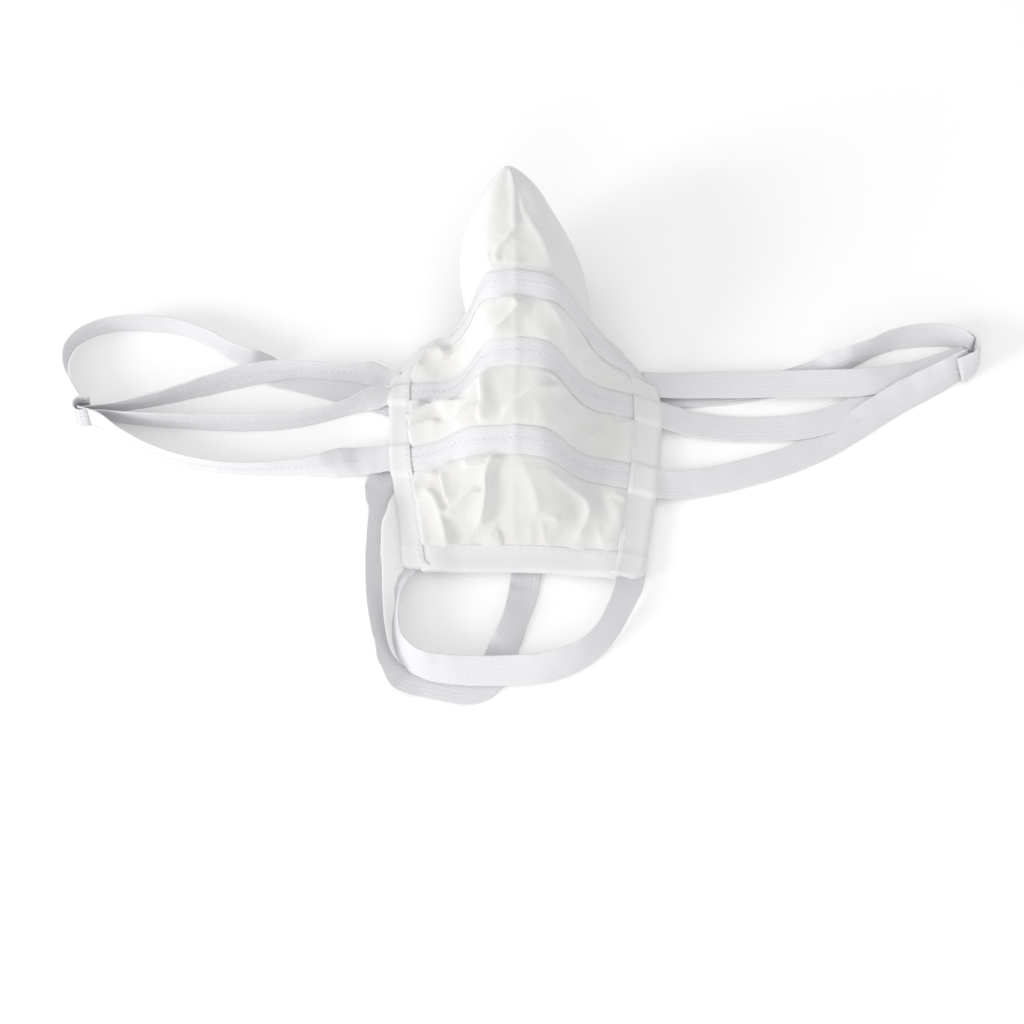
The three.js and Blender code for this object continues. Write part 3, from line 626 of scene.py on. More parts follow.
def stitches(name, spots, radius):
    """Short threads, each from one (point, normal) to another, arched over the cloth between."""
    points, faces, uv = [], [], []
    for (start, start_normal), (end, end_normal) in spots:
        run = end - start
        faces += tube_faces(THREAD_RINGS, THREAD_SIDES, len(points))
        for s in np.linspace(0, 1, THREAD_RINGS):
            normal = unit(start_normal * (1 - s) + end_normal * s)
            across = unit(np.cross(run, normal))
            bulge = math.sin(math.pi * s)
            middle = start + run * s + normal * (radius * 1.25 * bulge - radius * 0.5)
            thick = radius * (0.55 + 0.45 * bulge**0.5)
            for j in range(THREAD_SIDES):
                angle = 2 * math.pi * j / THREAD_SIDES
                around = math.cos(angle) * across + math.sin(angle) * normal
                points.append(middle + thick * around)
                uv.append((s * np.linalg.norm(run), j * radius))
    return mesh_object(name, np.array(points), faces, THREAD, uv)


def zigzag(name, on_face, length, reach=1.1, step=1.25, radius=0.12):
    """A zigzag seam along a tape; on_face(distance, across) gives points and normals."""
    count = int(length / step)
    distance = np.arange(count + 1) * step + (length - count * step) / 2
    side = np.where(np.arange(count + 1) % 2 == 0, -reach, reach)
    ends = list(zip(*on_face(distance, side)))
    return stitches(name, list(zip(ends, ends[1:])), radius)


def running(name, on_face, length, step=2.9, share=0.72, radius=0.15):
    """A straight seam of single stitches with a short gap between them."""
    count = int(length / step)
    starts = np.arange(count) * step + (length - count * step) / 2
    first, second = [zip(*on_face(at, np.zeros(count))) for at in (starts, starts + step * share)]
    return stitches(name, list(zip(first, second)), radius)


# ---- free tapes ------------------------------------------------------------------------------
TABLE_CLEARANCE = 0.02


def tape_section():
    """Points round a tape: slightly ribbed faces and round selvedges, as (across, through)."""
    half, radius = TAPE_WIDTH / 2, TAPE_THICKNESS / 2
    flat = np.linspace(-(half - radius), half - radius, 23)
    rib = 0.045 * np.cos(2 * math.pi * flat / 1.98)
    round_edge = [(half - radius + radius * math.cos(a), radius * math.sin(a))
                  for a in np.linspace(math.pi / 3, -math.pi / 3, 3)]
    top = list(zip(flat, radius * 0.94 + rib))
    bottom = [(-a, -b) for a, b in top]
    return np.array(top + round_edge + bottom + [(-a, -b) for a, b in round_edge])


def tape_frame(line, s):
    """Centre, width direction and face normal of a free tape at shares s of its spans."""
    line = np.asarray(line, float)
    spans = len(line) - 1
    k = np.clip(np.floor(s * spans).astype(int), 0, spans - 1)
    w = smooth(s * spans - k)[:, None]
    roll, lift = (line[k, 2:] * (1 - w) + line[k + 1, 2:] * w).T
    roll = np.radians(roll)
    step = 1e-4
    flat_line = line[:, :2]
    ahead = curve_point(flat_line, np.minimum(s + step, 1))
    forward = unit(ahead - curve_point(flat_line, np.maximum(s - step, 0)))
    zero = np.zeros(len(s))
    leftward = np.stack([-forward[:, 1], forward[:, 0], zero], -1)
    width = leftward * np.cos(roll)[:, None] + np.array([0, 0, 1]) * np.sin(roll)[:, None]
    reach = np.abs(np.sin(roll)) * TAPE_WIDTH + np.abs(np.cos(roll)) * TAPE_THICKNESS
    centre = np.column_stack([curve_point(flat_line, s), lift + reach / 2])
    return centre, width, np.cross(np.column_stack([forward, zero]), width)


def tape_stations(line):
    """Even shares along a tape about 1.5 mm apart, and their distances along it."""
    fine = np.linspace(0, 1, 2000)
    length = distances(curve_point(np.asarray(line, float)[:, :2], fine))
    distance = np.linspace(0, length[-1], max(12, int(length[-1] / 1.5)))
    return np.interp(distance, length, fine), distance


def ribbon(name, line, pinch_start=None, pinch_end=None, seed=1):
    """A free tape as a closed ribbed ribbon. A pinch (share, length) narrows an end for sewing."""
    s, distance = tape_stations(line)
    centre, width, normal = tape_frame(line, s)
    narrow = np.ones(len(s))
    for pinch, from_end in ((pinch_start, distance), (pinch_end, distance[-1] - distance)):
        if pinch:
            narrow *= pinch[0] + (1 - pinch[0]) * smooth(from_end / pinch[1])
    centre[:, 2] -= (1 - narrow) * np.abs(width[:, 2]) * TAPE_WIDTH / 2
    section_across, section_through = tape_section().T
    waver = 0.16 * waves(distance, 0 * distance, 26, seed)
    across = section_across * narrow[:, None] + waver[:, None]
    ripple = 0.1 * waves(distance, 0 * distance, 17, seed + 7)
    through = section_through + ripple[:, None] * (section_across / 6) ** 2
    points = centre[:, None] + width[:, None] * across[..., None]
    points += normal[:, None] * through[..., None]
    points[..., 2] = np.maximum(points[..., 2], TABLE_CLEARANCE)
    return tape_tube(name, points, distance, section_across)


def tape_seam(name, line, start, end):
    """A zigzag seam along the middle of the upper face of a free tape, between two distances."""
    s, distance = tape_stations(line)

    def on_face(at, across):
        centre, width, normal = tape_frame(line, np.interp(at + start, distance, s))
        return centre + width * across[:, None] + normal * (TAPE_THICKNESS / 2), normal

    return zigzag(name, on_face, min(end, distance[-1]) - start)


# ---- cloth simulation and folds --------------------------------------------------------------
SIM_SCALE = 20.0                # the cloth is simulated larger, where the solver is steadier
FOLD_SHARPNESS = 1.25
FOLD_FADE = 0.16                # share of a fold's length over which it starts and ends
FOLD_END = 0.3                  # its height share at the very ends


def simulate(points, faces, held, frames, grow, stiffness):
    """Lets a cloth that is a little too large for its seams settle between them."""
    mesh = bpy.data.meshes.new("sim")
    mesh.from_pydata((metres(points) * SIM_SCALE).tolist(), [], faces)
    cloth = bpy.data.objects.new("sim", mesh)
    bpy.context.collection.objects.link(cloth)
    group = cloth.vertex_groups.new(name="held")
    for weight in np.unique(np.round(held, 2)):
        if weight > 0:
            group.add(np.nonzero(np.round(held, 2) == weight)[0].tolist(), float(weight), "REPLACE")
    modifier = cloth.modifiers.new("cloth", "CLOTH")
    modifier.collision_settings.use_collision = False
    settings = modifier.settings
    settings.quality = 6
    settings.mass = 0.2
    settings.air_damping = 2.0
    settings.bending_stiffness = 0.35
    for stretch, share in (("tension", 1), ("compression", 1), ("shear", 1 / 3)):
        setattr(settings, stretch + "_stiffness", stiffness * share)
        setattr(settings, stretch + "_damping", 8.0)
    settings.shrink_min = -grow
    settings.vertex_group_mass = "held"
    settings.pin_stiffness = 1.0
    settings.effector_weights.gravity = 0.0
    scene = bpy.context.scene
    modifier.point_cache.frame_end = frames
    for step in range(1, frames + 1):
        scene.frame_set(step)
    settled = cloth.evaluated_get(bpy.context.evaluated_depsgraph_get()).to_mesh()
    result = np.empty(len(points) * 3)
    settled.vertices.foreach_get("co", result)
    scene.frame_set(1)
    bpy.data.objects.remove(cloth, do_unlink=True)
    return result.reshape(-1, 3) / (SIM_SCALE * MM) + HEM


def fold_heights(surface, folds, points, normals):
    """Height at each point of the given folds on a surface, the folds joined smoothly."""
    total = np.zeros(points.shape[:-1])
    for run, height, fall_left, fall_right in folds:
        run = np.asarray(run, float)
        shares = np.linspace(0, 1, 14 * (len(run) - 1) + 1)
        path = curve_point(run, shares)
        line = surface(path[:, 0], path[:, 1])
        forward = unit(np.gradient(line, axis=0))
        gap = points[..., None, :] - line
        distance = np.linalg.norm(gap, axis=-1)
        nearest = distance.argmin(-1)
        distance = np.take_along_axis(distance, nearest[..., None], -1)[..., 0]
        to_point = np.take_along_axis(gap, nearest[..., None, None], -2)[..., 0, :]
        leftward = np.cross(normals, forward[nearest])
        on_left = np.sum(leftward * to_point, -1) > 0
        fall = np.where(on_left, fall_left, fall_right)
        ends = smooth(np.minimum(shares, 1 - shares) / FOLD_FADE)[nearest]
        profile = np.exp(-((distance / fall) ** FOLD_SHARPNESS)) * height
        profile *= FOLD_END + (1 - FOLD_END) * ends
        total += profile**3
    return total ** (1 / 3)


# ---- the front cover -------------------------------------------------------------------------
COVER_ACROSS = 141
COVER_UP = 118
UP_LENGTH = 125.0               # about the length of the front from hem to top line
HALF_WIDTH = 60.0               # about its width from the ridge to a side edge
PUFF = {-1: 1.5, 1: 1.3}        # how far the cloth stands off between its seams, in mm
LEFT_FOLDS = 0.45               # how much deeper the folds are on the left
SEAM_INSET = 0.7                # the cloth leaves a tape this far inside the tape's edge, in mm
SEAM_FALL = 2.2                 # and rises over this length
HEM_SEWN = 0.86                 # the sewn share of the hem's width, and how fast it frees
HEM_FALL = 2.0
BINDING_SEWN = 0.84             # the sewn share of a binding's width
UPPER_SEWN_FROM = -0.6          # the upper tape's left end is not sewn to the cover
CRUMPLE = 0.35
SIM_FRAMES = 26
SIM_GROWTH = 0.05               # how much too large the cloth is for its seams
SIM_STIFFNESS = 12.0
SIM_SHARE = 0.35                # the share of the simulated change that is kept
SIM_LIMIT = 2.2                 # and the most that a point moves, in mm


def seam_share(u, v):
    """1 where the cover is sewn down, falling to 0 a few millimetres away from its seams."""
    share = 1 - smooth((v - HEM_TOP * HEM_SEWN) * UP_LENGTH / HEM_FALL)
    for name, line in TAPE_LINE.items():
        away = np.abs(v - line) * up_speed(u, v, 0.004) - (band_width(name, u) / 2 - SEAM_INSET)
        hold = 1 - smooth(away / SEAM_FALL)
        if name == "upper":
            hold = hold * smooth((u - UPPER_SEWN_FROM) / 0.1)
        share = np.maximum(share, hold)
    for side in (-1, 1):
        half = np.abs(front_point(np.full(v.shape, float(side)), v)[..., 0])
        from_edge = (1 - side * u) * half - BINDING_WIDTH[side] * BINDING_SEWN
        share = np.maximum(share, 1 - smooth(from_edge / SEAM_FALL))
    return share


def puff(u, v):
    """How far the gathered cloth stands off between its seams, in millimetres."""
    stops = [HEM_TOP, *TAPE_LINE.values()]
    height = np.zeros(u.shape)
    for low, high in zip(stops, stops[1:]):
        inside = np.clip((v - low) / (high - low), 0, 1)
        height = np.maximum(height, np.sin(math.pi * inside) ** 0.8)
    return height * np.where(u < 0, PUFF[-1], PUFF[1])


def turned_edge(edge, inside, normal, radius, degrees, tuck):
    """Rows that turn a free edge over the layers behind it and tuck it in."""
    outward = unit(edge - inside)
    rows = [edge + outward * (radius * math.sin(angle)) - normal * (radius * (1 - math.cos(angle)))
            for angle in np.radians(degrees)]
    return rows + [rows[-1] - outward * tuck]


def make_cover():
    """The gathered outer cloth in one piece: folds given one by one, settled by a simulation."""
    u_line = even_stations(lambda s: front_point(s, 0.6), -1, 1, COVER_ACROSS)
    v_line = even_stations(lambda s: front_point(-0.25, s), 0.004, 1.0, COVER_UP)
    u, v = np.meshgrid(u_line, v_line, indexing="ij")
    base, normal = front_point(u, v), surface_normal(front_point, u, v)
    held = seam_share(u, v)
    folds = fold_heights(front_point, FRONT_FOLDS, base, normal)
    folds *= 1 + LEFT_FOLDS * smooth(0.5 - 4 * u)
    crumple = CRUMPLE * waves(u * HALF_WIDTH, v * UP_LENGTH, 11, 3)
    offset = (puff(u, v) + folds + crumple) * (1 - held)
    cloth = base + normal * offset[..., None]
    moved = simulate(cloth.reshape(-1, 3), grid_faces(*u.shape), held.ravel() ** 2,
                     SIM_FRAMES, SIM_GROWTH, SIM_STIFFNESS)
    change = np.clip(moved.reshape(cloth.shape) - cloth, -SIM_LIMIT, SIM_LIMIT)
    cloth = cloth + (SIM_SHARE * (1 - held**2))[..., None] * change
    outward = np.sum((cloth - base) * normal, -1)
    lowest = 0.5 * (outward + np.sqrt(outward**2 + 0.04))
    cloth = cloth + normal * (lowest - outward)[..., None]
    top_normal = surface_normal(front_point, u_line, np.ones(len(u_line)))
    rim = turned_edge(cloth[:, -1], cloth[:, -3], top_normal, (STACK + 0.9) / 2,
                      [35, 75, 115, 150, 180], 2.5)
    outer = np.concatenate([cloth, np.stack(rim, 1)], 1)
    cover = slab("outer_cover", outer, outer - grid_normals(outer) * COVER, NON_WOVEN)
    belongs(cover, "mask", "non_woven", "outer_cover_left", "outer_cover_right")


def grid_normals(grid):
    """Normals of a grid that may turn over at its edge: continuous from row to row."""
    normals = unit(np.cross(np.gradient(grid, axis=0), np.gradient(grid, axis=1)))
    middle = normals[grid.shape[0] // 2, grid.shape[1] // 2]
    return -normals if middle[2] < 0 else normals


# ---- the layers behind the cover -------------------------------------------------------------
def inner_layer(name, node_name, surface_layer, grid, shift, thickness, material, slot):
    """One half of a thin layer behind the cloth; shift is where its outer face lies, in mm."""
    outer, inner = [surface_layer(*grid, offset) for offset in (shift, shift - thickness)]
    piece = slab(name, outer, inner, material)
    belongs(piece, "mask", slot, node_name)
    return piece


def make_layers():
    """The halves of the filter and of the lining, with a faint unevenness of their own."""
    for side, title in SIDES:
        u_line = side * even_stations(lambda s: front_point(side * s, 0.6), 0.004, 0.985, 56)
        grid = np.meshgrid(u_line, np.linspace(0.006, 0.99, 84), indexing="ij")
        uneven = 0.11 * waves(grid[0] * HALF_WIDTH, grid[1] * UP_LENGTH, 16, 5)
        depth = COVER + GAP
        pieces = [inner_layer(f"filter_{title}", f"filter_layer_{title}", front_layer, grid,
                              uneven - depth, FILTER, FILTER_WEB, "filter_media")]
        depth += FILTER + GAP
        pieces.append(inner_layer(f"lining_{title}", f"inner_lining_{title}", front_layer, grid,
                                  uneven - depth, LINING, LINING_CLOTH, "lining_cloth"))


# ---- the nose peak ---------------------------------------------------------------------------
PEAK_HALF_WIDTH = 30.0
PEAK_LENGTH = 60.0


def peak_or_front(u, w):
    """The peak's surface, carried on below its root along the front for negative w."""
    root_u = np.where(u < 0, PEAK_ROOT[-1], PEAK_ROOT[1]) * u
    below = front_point(root_u, 1 + np.minimum(w, 0))
    return np.where((w < 0)[..., None], below, peak_point(u, np.maximum(w, 0)))


def peak_rim(grid, end, step):
    """Columns that turn the peak's free edge, grid[end], over the lining behind it."""
    columns = turned_edge(grid[end], grid[end + 2 * step], grid_normals(grid)[end],
                          (COVER + GAP + LINING + 0.7) / 2, [40, 85, 130, 180], 2.0)
    return np.stack(columns[::-step], 0)


def make_peak():
    """The nose peak's outer cloth, with its free edge turned over the lining."""
    left, right = [even_stations(lambda s: peak_point(side * s, 0.3), 0, 1, count)
                   for side, count in ((-1, 46), (1, 54))]
    u_line = np.concatenate([-left[::-1], right[1:]])
    w_line = np.concatenate([np.linspace(-0.03, -0.004, 4), np.linspace(0.004, 0.975, 74)])
    u, w = np.meshgrid(u_line, w_line, indexing="ij")
    base = peak_or_front(u, w)
    normal = grid_normals(base)
    folds = 1.6 * fold_heights(peak_point, PEAK_FOLDS, base, normal)
    x, y = u * PEAK_HALF_WIDTH, w * PEAK_LENGTH
    crumple = 0.3 * waves(x, y, 14, 11) + 0.12 * waves(x, y, 5, 12)
    fade = smooth((w + 0.01) / 0.08) * smooth((1.02 - w) / 0.2) * smooth((1.02 - np.abs(u)) / 0.25)
    grid = base + normal * ((folds + crumple + 0.35) * fade)[..., None]
    grid = np.concatenate([peak_rim(grid, 0, 1), grid, peak_rim(grid, -1, -1)], 0)
    peak = slab("nose_peak", grid, grid - grid_normals(grid) * COVER, NON_WOVEN)
    belongs(peak, "mask", "non_woven", "nose_peak_left", "nose_peak_right")


def make_peak_lining():
    """The halves of the peak's lining."""
    for side, title in SIDES:
        grid = np.meshgrid(side * np.linspace(0.01, 0.985, 26), np.linspace(0.004, 0.972, 44),
                           indexing="ij")
        uneven = 0.1 * waves(grid[0] * PEAK_HALF_WIDTH, grid[1] * PEAK_LENGTH, 13, 21)
        lining = inner_layer(f"peak_lining_{title}", f"nose_peak_lining_{title}", peak_layer, grid,
                             uneven - COVER - GAP, LINING, LINING_CLOTH, "lining_cloth")


# ---- tapes sewn across the front -------------------------------------------------------------
BAND_LIFT = 0.3
BAND_WIDTH = {
    "upper": {-1: 8.6, 0: 11.4, 1: 10.6},
    "middle": {-1: 9.0, 0: 11.4, 1: 11.2},
    "lower": {-1: 11.2, 0: 11.6, 1: 11.8},
}
BAND_ENDS = {"upper": (-0.63, 1.015), "middle": (-0.955, 0.965), "lower": (-0.955, 0.965)}


def band_width(name, u):
    """Width in mm of a tape across the front, drawn in towards its ends."""
    widths = BAND_WIDTH[name]
    return np.where(u < 0, widths[-1], widths[1]) * u**2 + widths[0] * (1 - u**2)


def up_speed(u, v, step):
    """How many mm of the front one unit of v covers."""
    return np.linalg.norm(front_point(u, v + step) - front_point(u, v - step), axis=-1) / (2 * step)


def on_front(u, v, lift):
    """Points above the front and the normals there, for seams."""
    return front_layer(u, v, lift), surface_normal(front_point, u, v)


def make_band(name):
    """A tape sewn across the front, with its zigzag seam."""
    line, (start, end) = TAPE_LINE[name], BAND_ENDS[name]
    u_line = even_stations(lambda s: front_point(s, line), start, end, 130)
    width = band_width(name, u_line)
    sunk = np.zeros(len(u_line))
    if name == "upper":
        # its left end narrows and dives behind the cloth, its right end bends over the edge
        width = width * (0.45 + 0.55 * smooth((u_line - start) / 0.16))
        line = line + 0.042 * smooth((-u_line - 0.12) / 0.22)
        sunk = 1 - smooth((u_line - start) / 0.12) + 1.7 * smooth((u_line - 0.965) / 0.05)
    line = np.broadcast_to(line, u_line.shape)
    per_v = up_speed(u_line, line, 0.005)
    distance = distances(front_point(u_line, line))
    section_across, section_through = tape_section().T
    across = section_across / (TAPE_WIDTH / 2)
    waver = (0.28 * waves(distance, 0 * distance, 22, len(name))
             + 0.1 * waves(distance, 0 * distance, 6, 4))
    v = line[:, None] + (across * width[:, None] / 2 + waver[:, None]) / per_v[:, None]
    curl = 0.36 * across**4 * (1 + 0.4 * waves(distance, 0 * distance, 9, 8)[:, None])
    lift = BAND_LIFT + TAPE_THICKNESS / 2 + section_through - curl - sunk[:, None]
    points = front_layer(u_line[:, None], v, lift)
    band = tape_tube(f"{name}_tape", points, distance, section_across)
    belongs(band, "mask", "knitted_elastic", f"{name}_band")

    def on_face(at, side):
        u = np.interp(at + 2.0, distance, u_line)
        v = np.interp(u, u_line, line) + side / np.interp(u, u_line, per_v)
        return on_front(u, v, BAND_LIFT + TAPE_THICKNESS)

    seam = zigzag(f"{name}_tape_seam", on_face, distance[-1] - 9.0)
    belongs(seam, "mask", "knitted_elastic")


# ---- bindings and hem ------------------------------------------------------------------------
FOLD_ANGLES = np.radians([65, 40, 15, -15, -40, -65])
LEAF_SHARES = [1.0, 0.97, 0.86, 0.7, 0.52, 0.35, 0.18, 0.0]
HEM_LENGTH = 46.0                   # mm of the hem for one unit of u
HEM_LIFT = 0.2


def strip_seam(name, on_face, length):
    """Running stitches along a binding or the hem."""
    belongs(running(name, on_face, length), "mask", "binding_cloth")


def binding_lift(v):
    """How far a side binding's upper leaf stands off the cloth; more where it covers a tape."""
    over = np.min([np.abs(v - TAPE_LINE[name]) * UP_LENGTH for name in ("lower", "middle")], axis=0)
    near = np.maximum(smooth((9.0 - over) / 3.5), 0.5 * smooth((HEM_TOP + 0.02 - v) / 0.03))
    return 0.3 + (BAND_LIFT + TAPE_THICKNESS + GAP - 0.3) * near


def folded_strip(name, node_name, points_at, outward, lift, thickness, puckers, closing):
    """A strip that wraps an edge: upper leaf, fold and lower leaf.

    points_at(share, offset) gives points at a share of the leaf's width, outward is the way
    out of the edge, and closing falls from 1 to 0 where the strip's ends are pressed shut.
    """
    bottom = -STACK - 0.3
    middle = (lift + bottom) / 2
    lift = middle + (lift - middle) * closing
    bottom = middle + (bottom - middle) * closing
    rings = []
    for skin in (thickness * closing, 0.0 * closing):
        radius = (lift - bottom) / 2 + skin
        ring = []
        for k, share in enumerate(LEAF_SHARES):
            pressed = 0.3 * max(0.0, share - 0.85) / 0.15
            pucker = puckers * math.sin(math.pi * min(1, k / 4))
            ring.append(points_at(share, lift + skin - pressed + pucker))
        for angle in FOLD_ANGLES:
            turned = points_at(0.0, middle + radius * math.sin(angle))
            ring.append(turned + outward * (1.1 * radius * math.cos(angle))[:, None])
        for share in LEAF_SHARES[::-1]:
            ring.append(points_at(share, bottom - skin))
        rings.append(np.stack(ring, 1))
    belongs(slab(name, *rings, SHADED_BINDING_CLOTH), "mask", "binding_cloth", node_name)


def closed_ends(low, high, count, cap):
    """Stations from low to high with round caps beyond both, and how open the strip is there."""
    turn = np.radians([90, 72, 48, 24])
    stations = np.concatenate([low - cap * np.sin(turn), np.linspace(low, high, count),
                               high + cap * np.sin(turn[::-1])])
    opening = np.concatenate([np.cos(turn), np.ones(count), np.cos(turn[::-1])])
    return stations, np.maximum(opening, 0.04)


def make_side_binding(side, title):
    """The strip folded round one side edge, with its stitches."""
    v_line, closing = closed_ends(0.004, BINDING_TOP[side], 150, 0.013)
    half = np.abs(front_point(np.full(len(v_line), float(side)), v_line)[:, 0])
    length = v_line * UP_LENGTH
    width = BINDING_WIDTH[side] + 0.35 * waves(length, 0 * length, 19, 31 + side)
    puckers = 0.16 * waves(length, 0 * length, 4.6, 33 + side)

    def points_at(share, offset):
        return front_layer(side * (1 - share * width / half), v_line, offset)

    folded_strip(f"binding_{title}", f"side_binding_{title}", points_at,
                 np.array([[float(side), 0.0, 0.0]]), binding_lift(v_line), BINDING,
                 puckers, closing)

    def on_face(at, _):
        v = at / UP_LENGTH
        u = side * (1 - (BINDING_WIDTH[side] - 1.5) / np.interp(v, v_line, half))
        return on_front(u, v, binding_lift(v) + BINDING + np.interp(v, v_line, puckers) * 0.8)

    strip_seam(f"binding_{title}_seam", on_face, UP_LENGTH * BINDING_TOP[side])


def make_hem():
    """The strip folded round the lower edge, with its stitches."""
    low, high = -(1 - (BINDING_WIDTH[-1] - 3.4) / 42.5), 1 - (BINDING_WIDTH[1] - 4.0) / 49
    u_line, closing = closed_ends(low, high, 130, 0.01)
    distance = u_line * HEM_LENGTH
    puckers = 0.14 * waves(distance, 0 * distance, 4.2, 41)
    top = HEM_TOP + 0.003 * waves(distance, 0 * distance, 15, 42)

    def points_at(share, offset):
        return front_layer(u_line, share * top, offset)

    folded_strip("hem_strip", "bottom_hem", points_at, np.array([[0.0, -1.0, 0.0]]),
                 np.full(len(u_line), HEM_LIFT), HEM_STRIP, puckers, closing)

    def on_face(at, _):
        u = low + (at + 1.0) / HEM_LENGTH
        lift = HEM_LIFT + HEM_STRIP + 0.8 * np.interp(u, u_line, puckers)
        return on_front(u, np.full(len(u), HEM_TOP * 0.84), lift)

    strip_seam("hem_seam", on_face, (high - low) * HEM_LENGTH - 2.0)


# ---- harness and loops -----------------------------------------------------------------------
def carry(piece, bend):
    """Bakes a tape's transform into its mesh; the bend's points are converted but nothing bends the
    tape.
    """
    place(*bend[0])
    place(*bend[1])
    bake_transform(piece)


# Share of a tape's width that is left where it is gathered, and the length of the gathering in mm.
ROOT_PINCH = (0.35, 14.0)
KNOT_PINCH = (0.6, 34.0)


def make_harness():
    """The free tapes of both halves of the harness and the strap under the mask."""
    for side, bend in (("left", LEFT_BEND), ("right", RIGHT_BEND)):
        for seed, name in enumerate(("upper", "middle", "lower", "back")):
            title = f"{name}_strap_{side}"
            line = TAPES[title]
            on_edge = side == "left" and name in ("upper", "middle")
            pinches = (ROOT_PINCH, KNOT_PINCH) if on_edge else (None, None)
            tape = ribbon(f"{name}_tape_{side}", line, *pinches, seed=51 + seed)
            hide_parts(title)
            carry(tape, bend)
            if side == "left" and name != "back":
                seam = tape_seam(f"{name}_tape_left_seam", line, 16.0, 118.0)
                carry(seam, bend)
    middle = ribbon("back_tape_middle", TAPES["back_strap_middle"], seed=61)
    belongs(middle, "mask", "knitted_elastic", "back_strap_middle")


def make_loops():
    """The neck tape, in one length, and the chin loop."""
    neck = ribbon("neck_tape", TAPES["neck_tape"], seed=62)
    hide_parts("neck_strap_left", "neck_loop", "neck_strap_right")
    carry(neck, LOOP_BEND)
    chin = ribbon("chin_tape", TAPES["chin_loop"], (0.4, 12.0), seed=63)
    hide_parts("chin_loop")
    carry(chin, CHIN_BEND)


# Folded ends that gather the tapes, as [x, y, roll, lift] like the tapes.
TABS = {
    "left": [[-172.6, 76.8, 90, 0.2], [-175.4, 77.4, 90, 0.2], [-178, 76.4, 90, 0.2],
             [-179, 74, 90, 0.2], [-178.2, 71.6, 90, 0.2], [-175.8, 70.6, 90, 0.2],
             [-173, 71, 90, 0.2]],
    "right": [[186, 109, -90, 0.2], [189.4, 106.2, -90, 0.2], [190.8, 101.8, -86, 0.2],
              [189.4, 98.2, -78, 0.2], [186.4, 95.8, -68, 0.2], [182.4, 93.4, -58, 0.2]],
}
BAR_SHARE = {"left": 0.8, "right": 0.45}    # where the bar tacks are, as a share of the length
BAR_HEIGHTS = (-4.2, -1.4, 1.4, 4.2)        # and their middles across the tape, in mm


def make_tabs():
    """The folded ends that gather the tapes, with bar tacks across them."""
    for side, line in TABS.items():
        body = f"{side}_harness"
        tab = ribbon(f"gather_{side}", line, seed=71)
        belongs(tab, body, "knitted_elastic", f"gather_tab_{side}")
        middle = tape_stations(line)[1][-1] * BAR_SHARE[side]
        for number, height in enumerate(BAR_HEIGHTS):
            bar = bar_tack(f"gather_{side}_stitch_{number + 1}", line, middle, height)
            belongs(bar, body, "knitted_elastic")


def bar_tack(name, line, middle, height, step=0.8, reach=1.1):
    """A short dense row of stitches across a folded end, on both of its faces."""
    s, distance = tape_stations(line)
    at = middle + np.arange(-3, 4) * step
    centre, width, normal = tape_frame(line, np.interp(at, distance, s))
    spots = []
    for outside in (normal, -normal):
        face = centre + outside * TAPE_THICKNESS / 2
        low, high = face + width * (height - reach), face + width * (height + reach)
        for k in range(len(at) - 1):
            start, end = (low, high) if k % 2 == 0 else (high, low)
            spots.append(((start[k], outside[k]), (end[k + 1], outside[k + 1])))
    return stitches(name, spots, 0.15)


# ---- floor, light and camera -----------------------------------------------------------------
FLOOR_HALF = 6.0
FLOOR_DROP = 0.0002
FLOOR_TONES = (0.93, 0.945)
FLOOR_GLOW = 0.09
AMBIENT = 0.82
KEY_DISTANCE = 2.6
KEY_HEIGHT = math.radians(22)
KEY_WAY = (-0.91, -0.41)
CAMERA_LENS = 96.68
CAMERA_HEIGHT = math.radians(60)
CAMERA_DISTANCE = 1.1
CAMERA_TARGET = Vector((-0.0012, -0.05, 0.0))
LIGHT_TARGET = Vector((0, 0, 0.02))


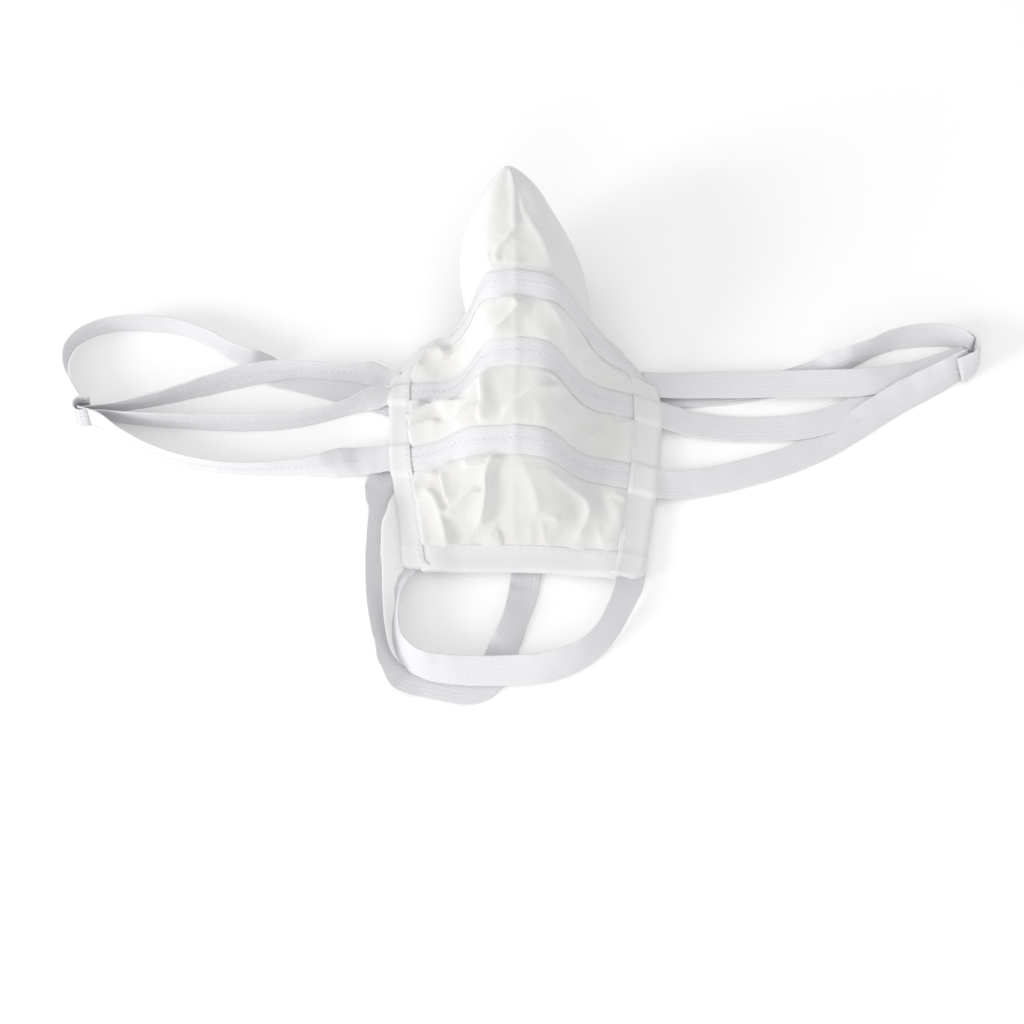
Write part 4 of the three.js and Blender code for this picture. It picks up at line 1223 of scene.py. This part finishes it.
def make_floor():
    """A plain pale floor just under the object."""
    corners = [(x * FLOOR_HALF, y * FLOOR_HALF, 0) for x, y in ((-1, -1), (1, -1), (1, 1), (-1, 1))]
    mesh = bpy.data.meshes.new("floor")
    mesh.from_pydata(corners, [], [(0, 1, 2, 3)])
    floor = bpy.data.objects.new("floor", mesh)
    floor.location.z = -FLOOR_DROP
    bpy.context.collection.objects.link(floor)
    material = bpy.data.materials.new("floor_paper")
    material.use_nodes = True
    tree = material.node_tree
    inputs = tree.nodes["Principled BSDF"].inputs
    noise = node(tree, "ShaderNodeTexNoise", {"Scale": 40.0, "Detail": 3.0})
    dark, light = [(tone, tone, tone, 1) for tone in FLOOR_TONES]
    mix = node(tree, "ShaderNodeMix", {0: noise.outputs["Fac"], 6: dark, 7: light},
               data_type="RGBA")
    tree.links.new(mix.outputs[2], inputs["Base Color"])
    inputs["Roughness"].default_value = 1.0
    inputs["Emission Color"].default_value = (1, 1, 1, 1)
    inputs["Emission Strength"].default_value = FLOOR_GLOW
    inputs["Specular IOR Level"].default_value = 0.0
    mesh.materials.append(material)


def area_light(name, location, size, power):
    """A round soft light that looks at the object."""
    light = bpy.data.lights.new(name, "AREA")
    light.shape = "DISK"
    light.size = size
    light.energy = power
    lamp = bpy.data.objects.new(name, light)
    lamp.location = location
    lamp.rotation_euler = (LIGHT_TARGET - Vector(location)).to_track_quat("-Z", "Y").to_euler()
    bpy.context.collection.objects.link(lamp)


def make_light():
    """A pale even surround, a low key light from the left and a weak fill from the front."""
    world = bpy.data.worlds.new("studio")
    world.use_nodes = True
    background = world.node_tree.nodes["Background"]
    background.inputs["Color"].default_value = (0.985, 0.99, 1.0, 1)
    background.inputs["Strength"].default_value = AMBIENT
    bpy.context.scene.world = world
    area_light("fill", (-0.5, -2.2, 0.9), 1.6, 10.0)
    reach, height = KEY_DISTANCE * math.cos(KEY_HEIGHT), KEY_DISTANCE * math.sin(KEY_HEIGHT)
    area_light("key", (reach * KEY_WAY[0], reach * KEY_WAY[1], height), 0.9, 28.0)


def make_camera():
    """A camera at the photo's viewing angle."""
    camera = bpy.data.objects.new("camera", bpy.data.cameras.new("camera"))
    camera.data.lens = CAMERA_LENS
    camera.data.sensor_width = 36.0
    away = Vector((0, -math.cos(CAMERA_HEIGHT), math.sin(CAMERA_HEIGHT)))
    camera.location = CAMERA_TARGET + CAMERA_DISTANCE * away
    camera.rotation_euler = (math.pi / 2 - CAMERA_HEIGHT, 0, 0)
    bpy.context.collection.objects.link(camera)
    bpy.context.scene.camera = camera
    bpy.context.scene.view_settings.view_transform = "Standard"


make_camera()
make_cover()
make_layers()
make_peak()
make_peak_lining()
for band_name in TAPE_LINE:
    make_band(band_name)
for side, title in SIDES:
    make_side_binding(side, title)
make_hem()
make_harness()
make_loops()
make_tabs()
make_floor()
make_light()
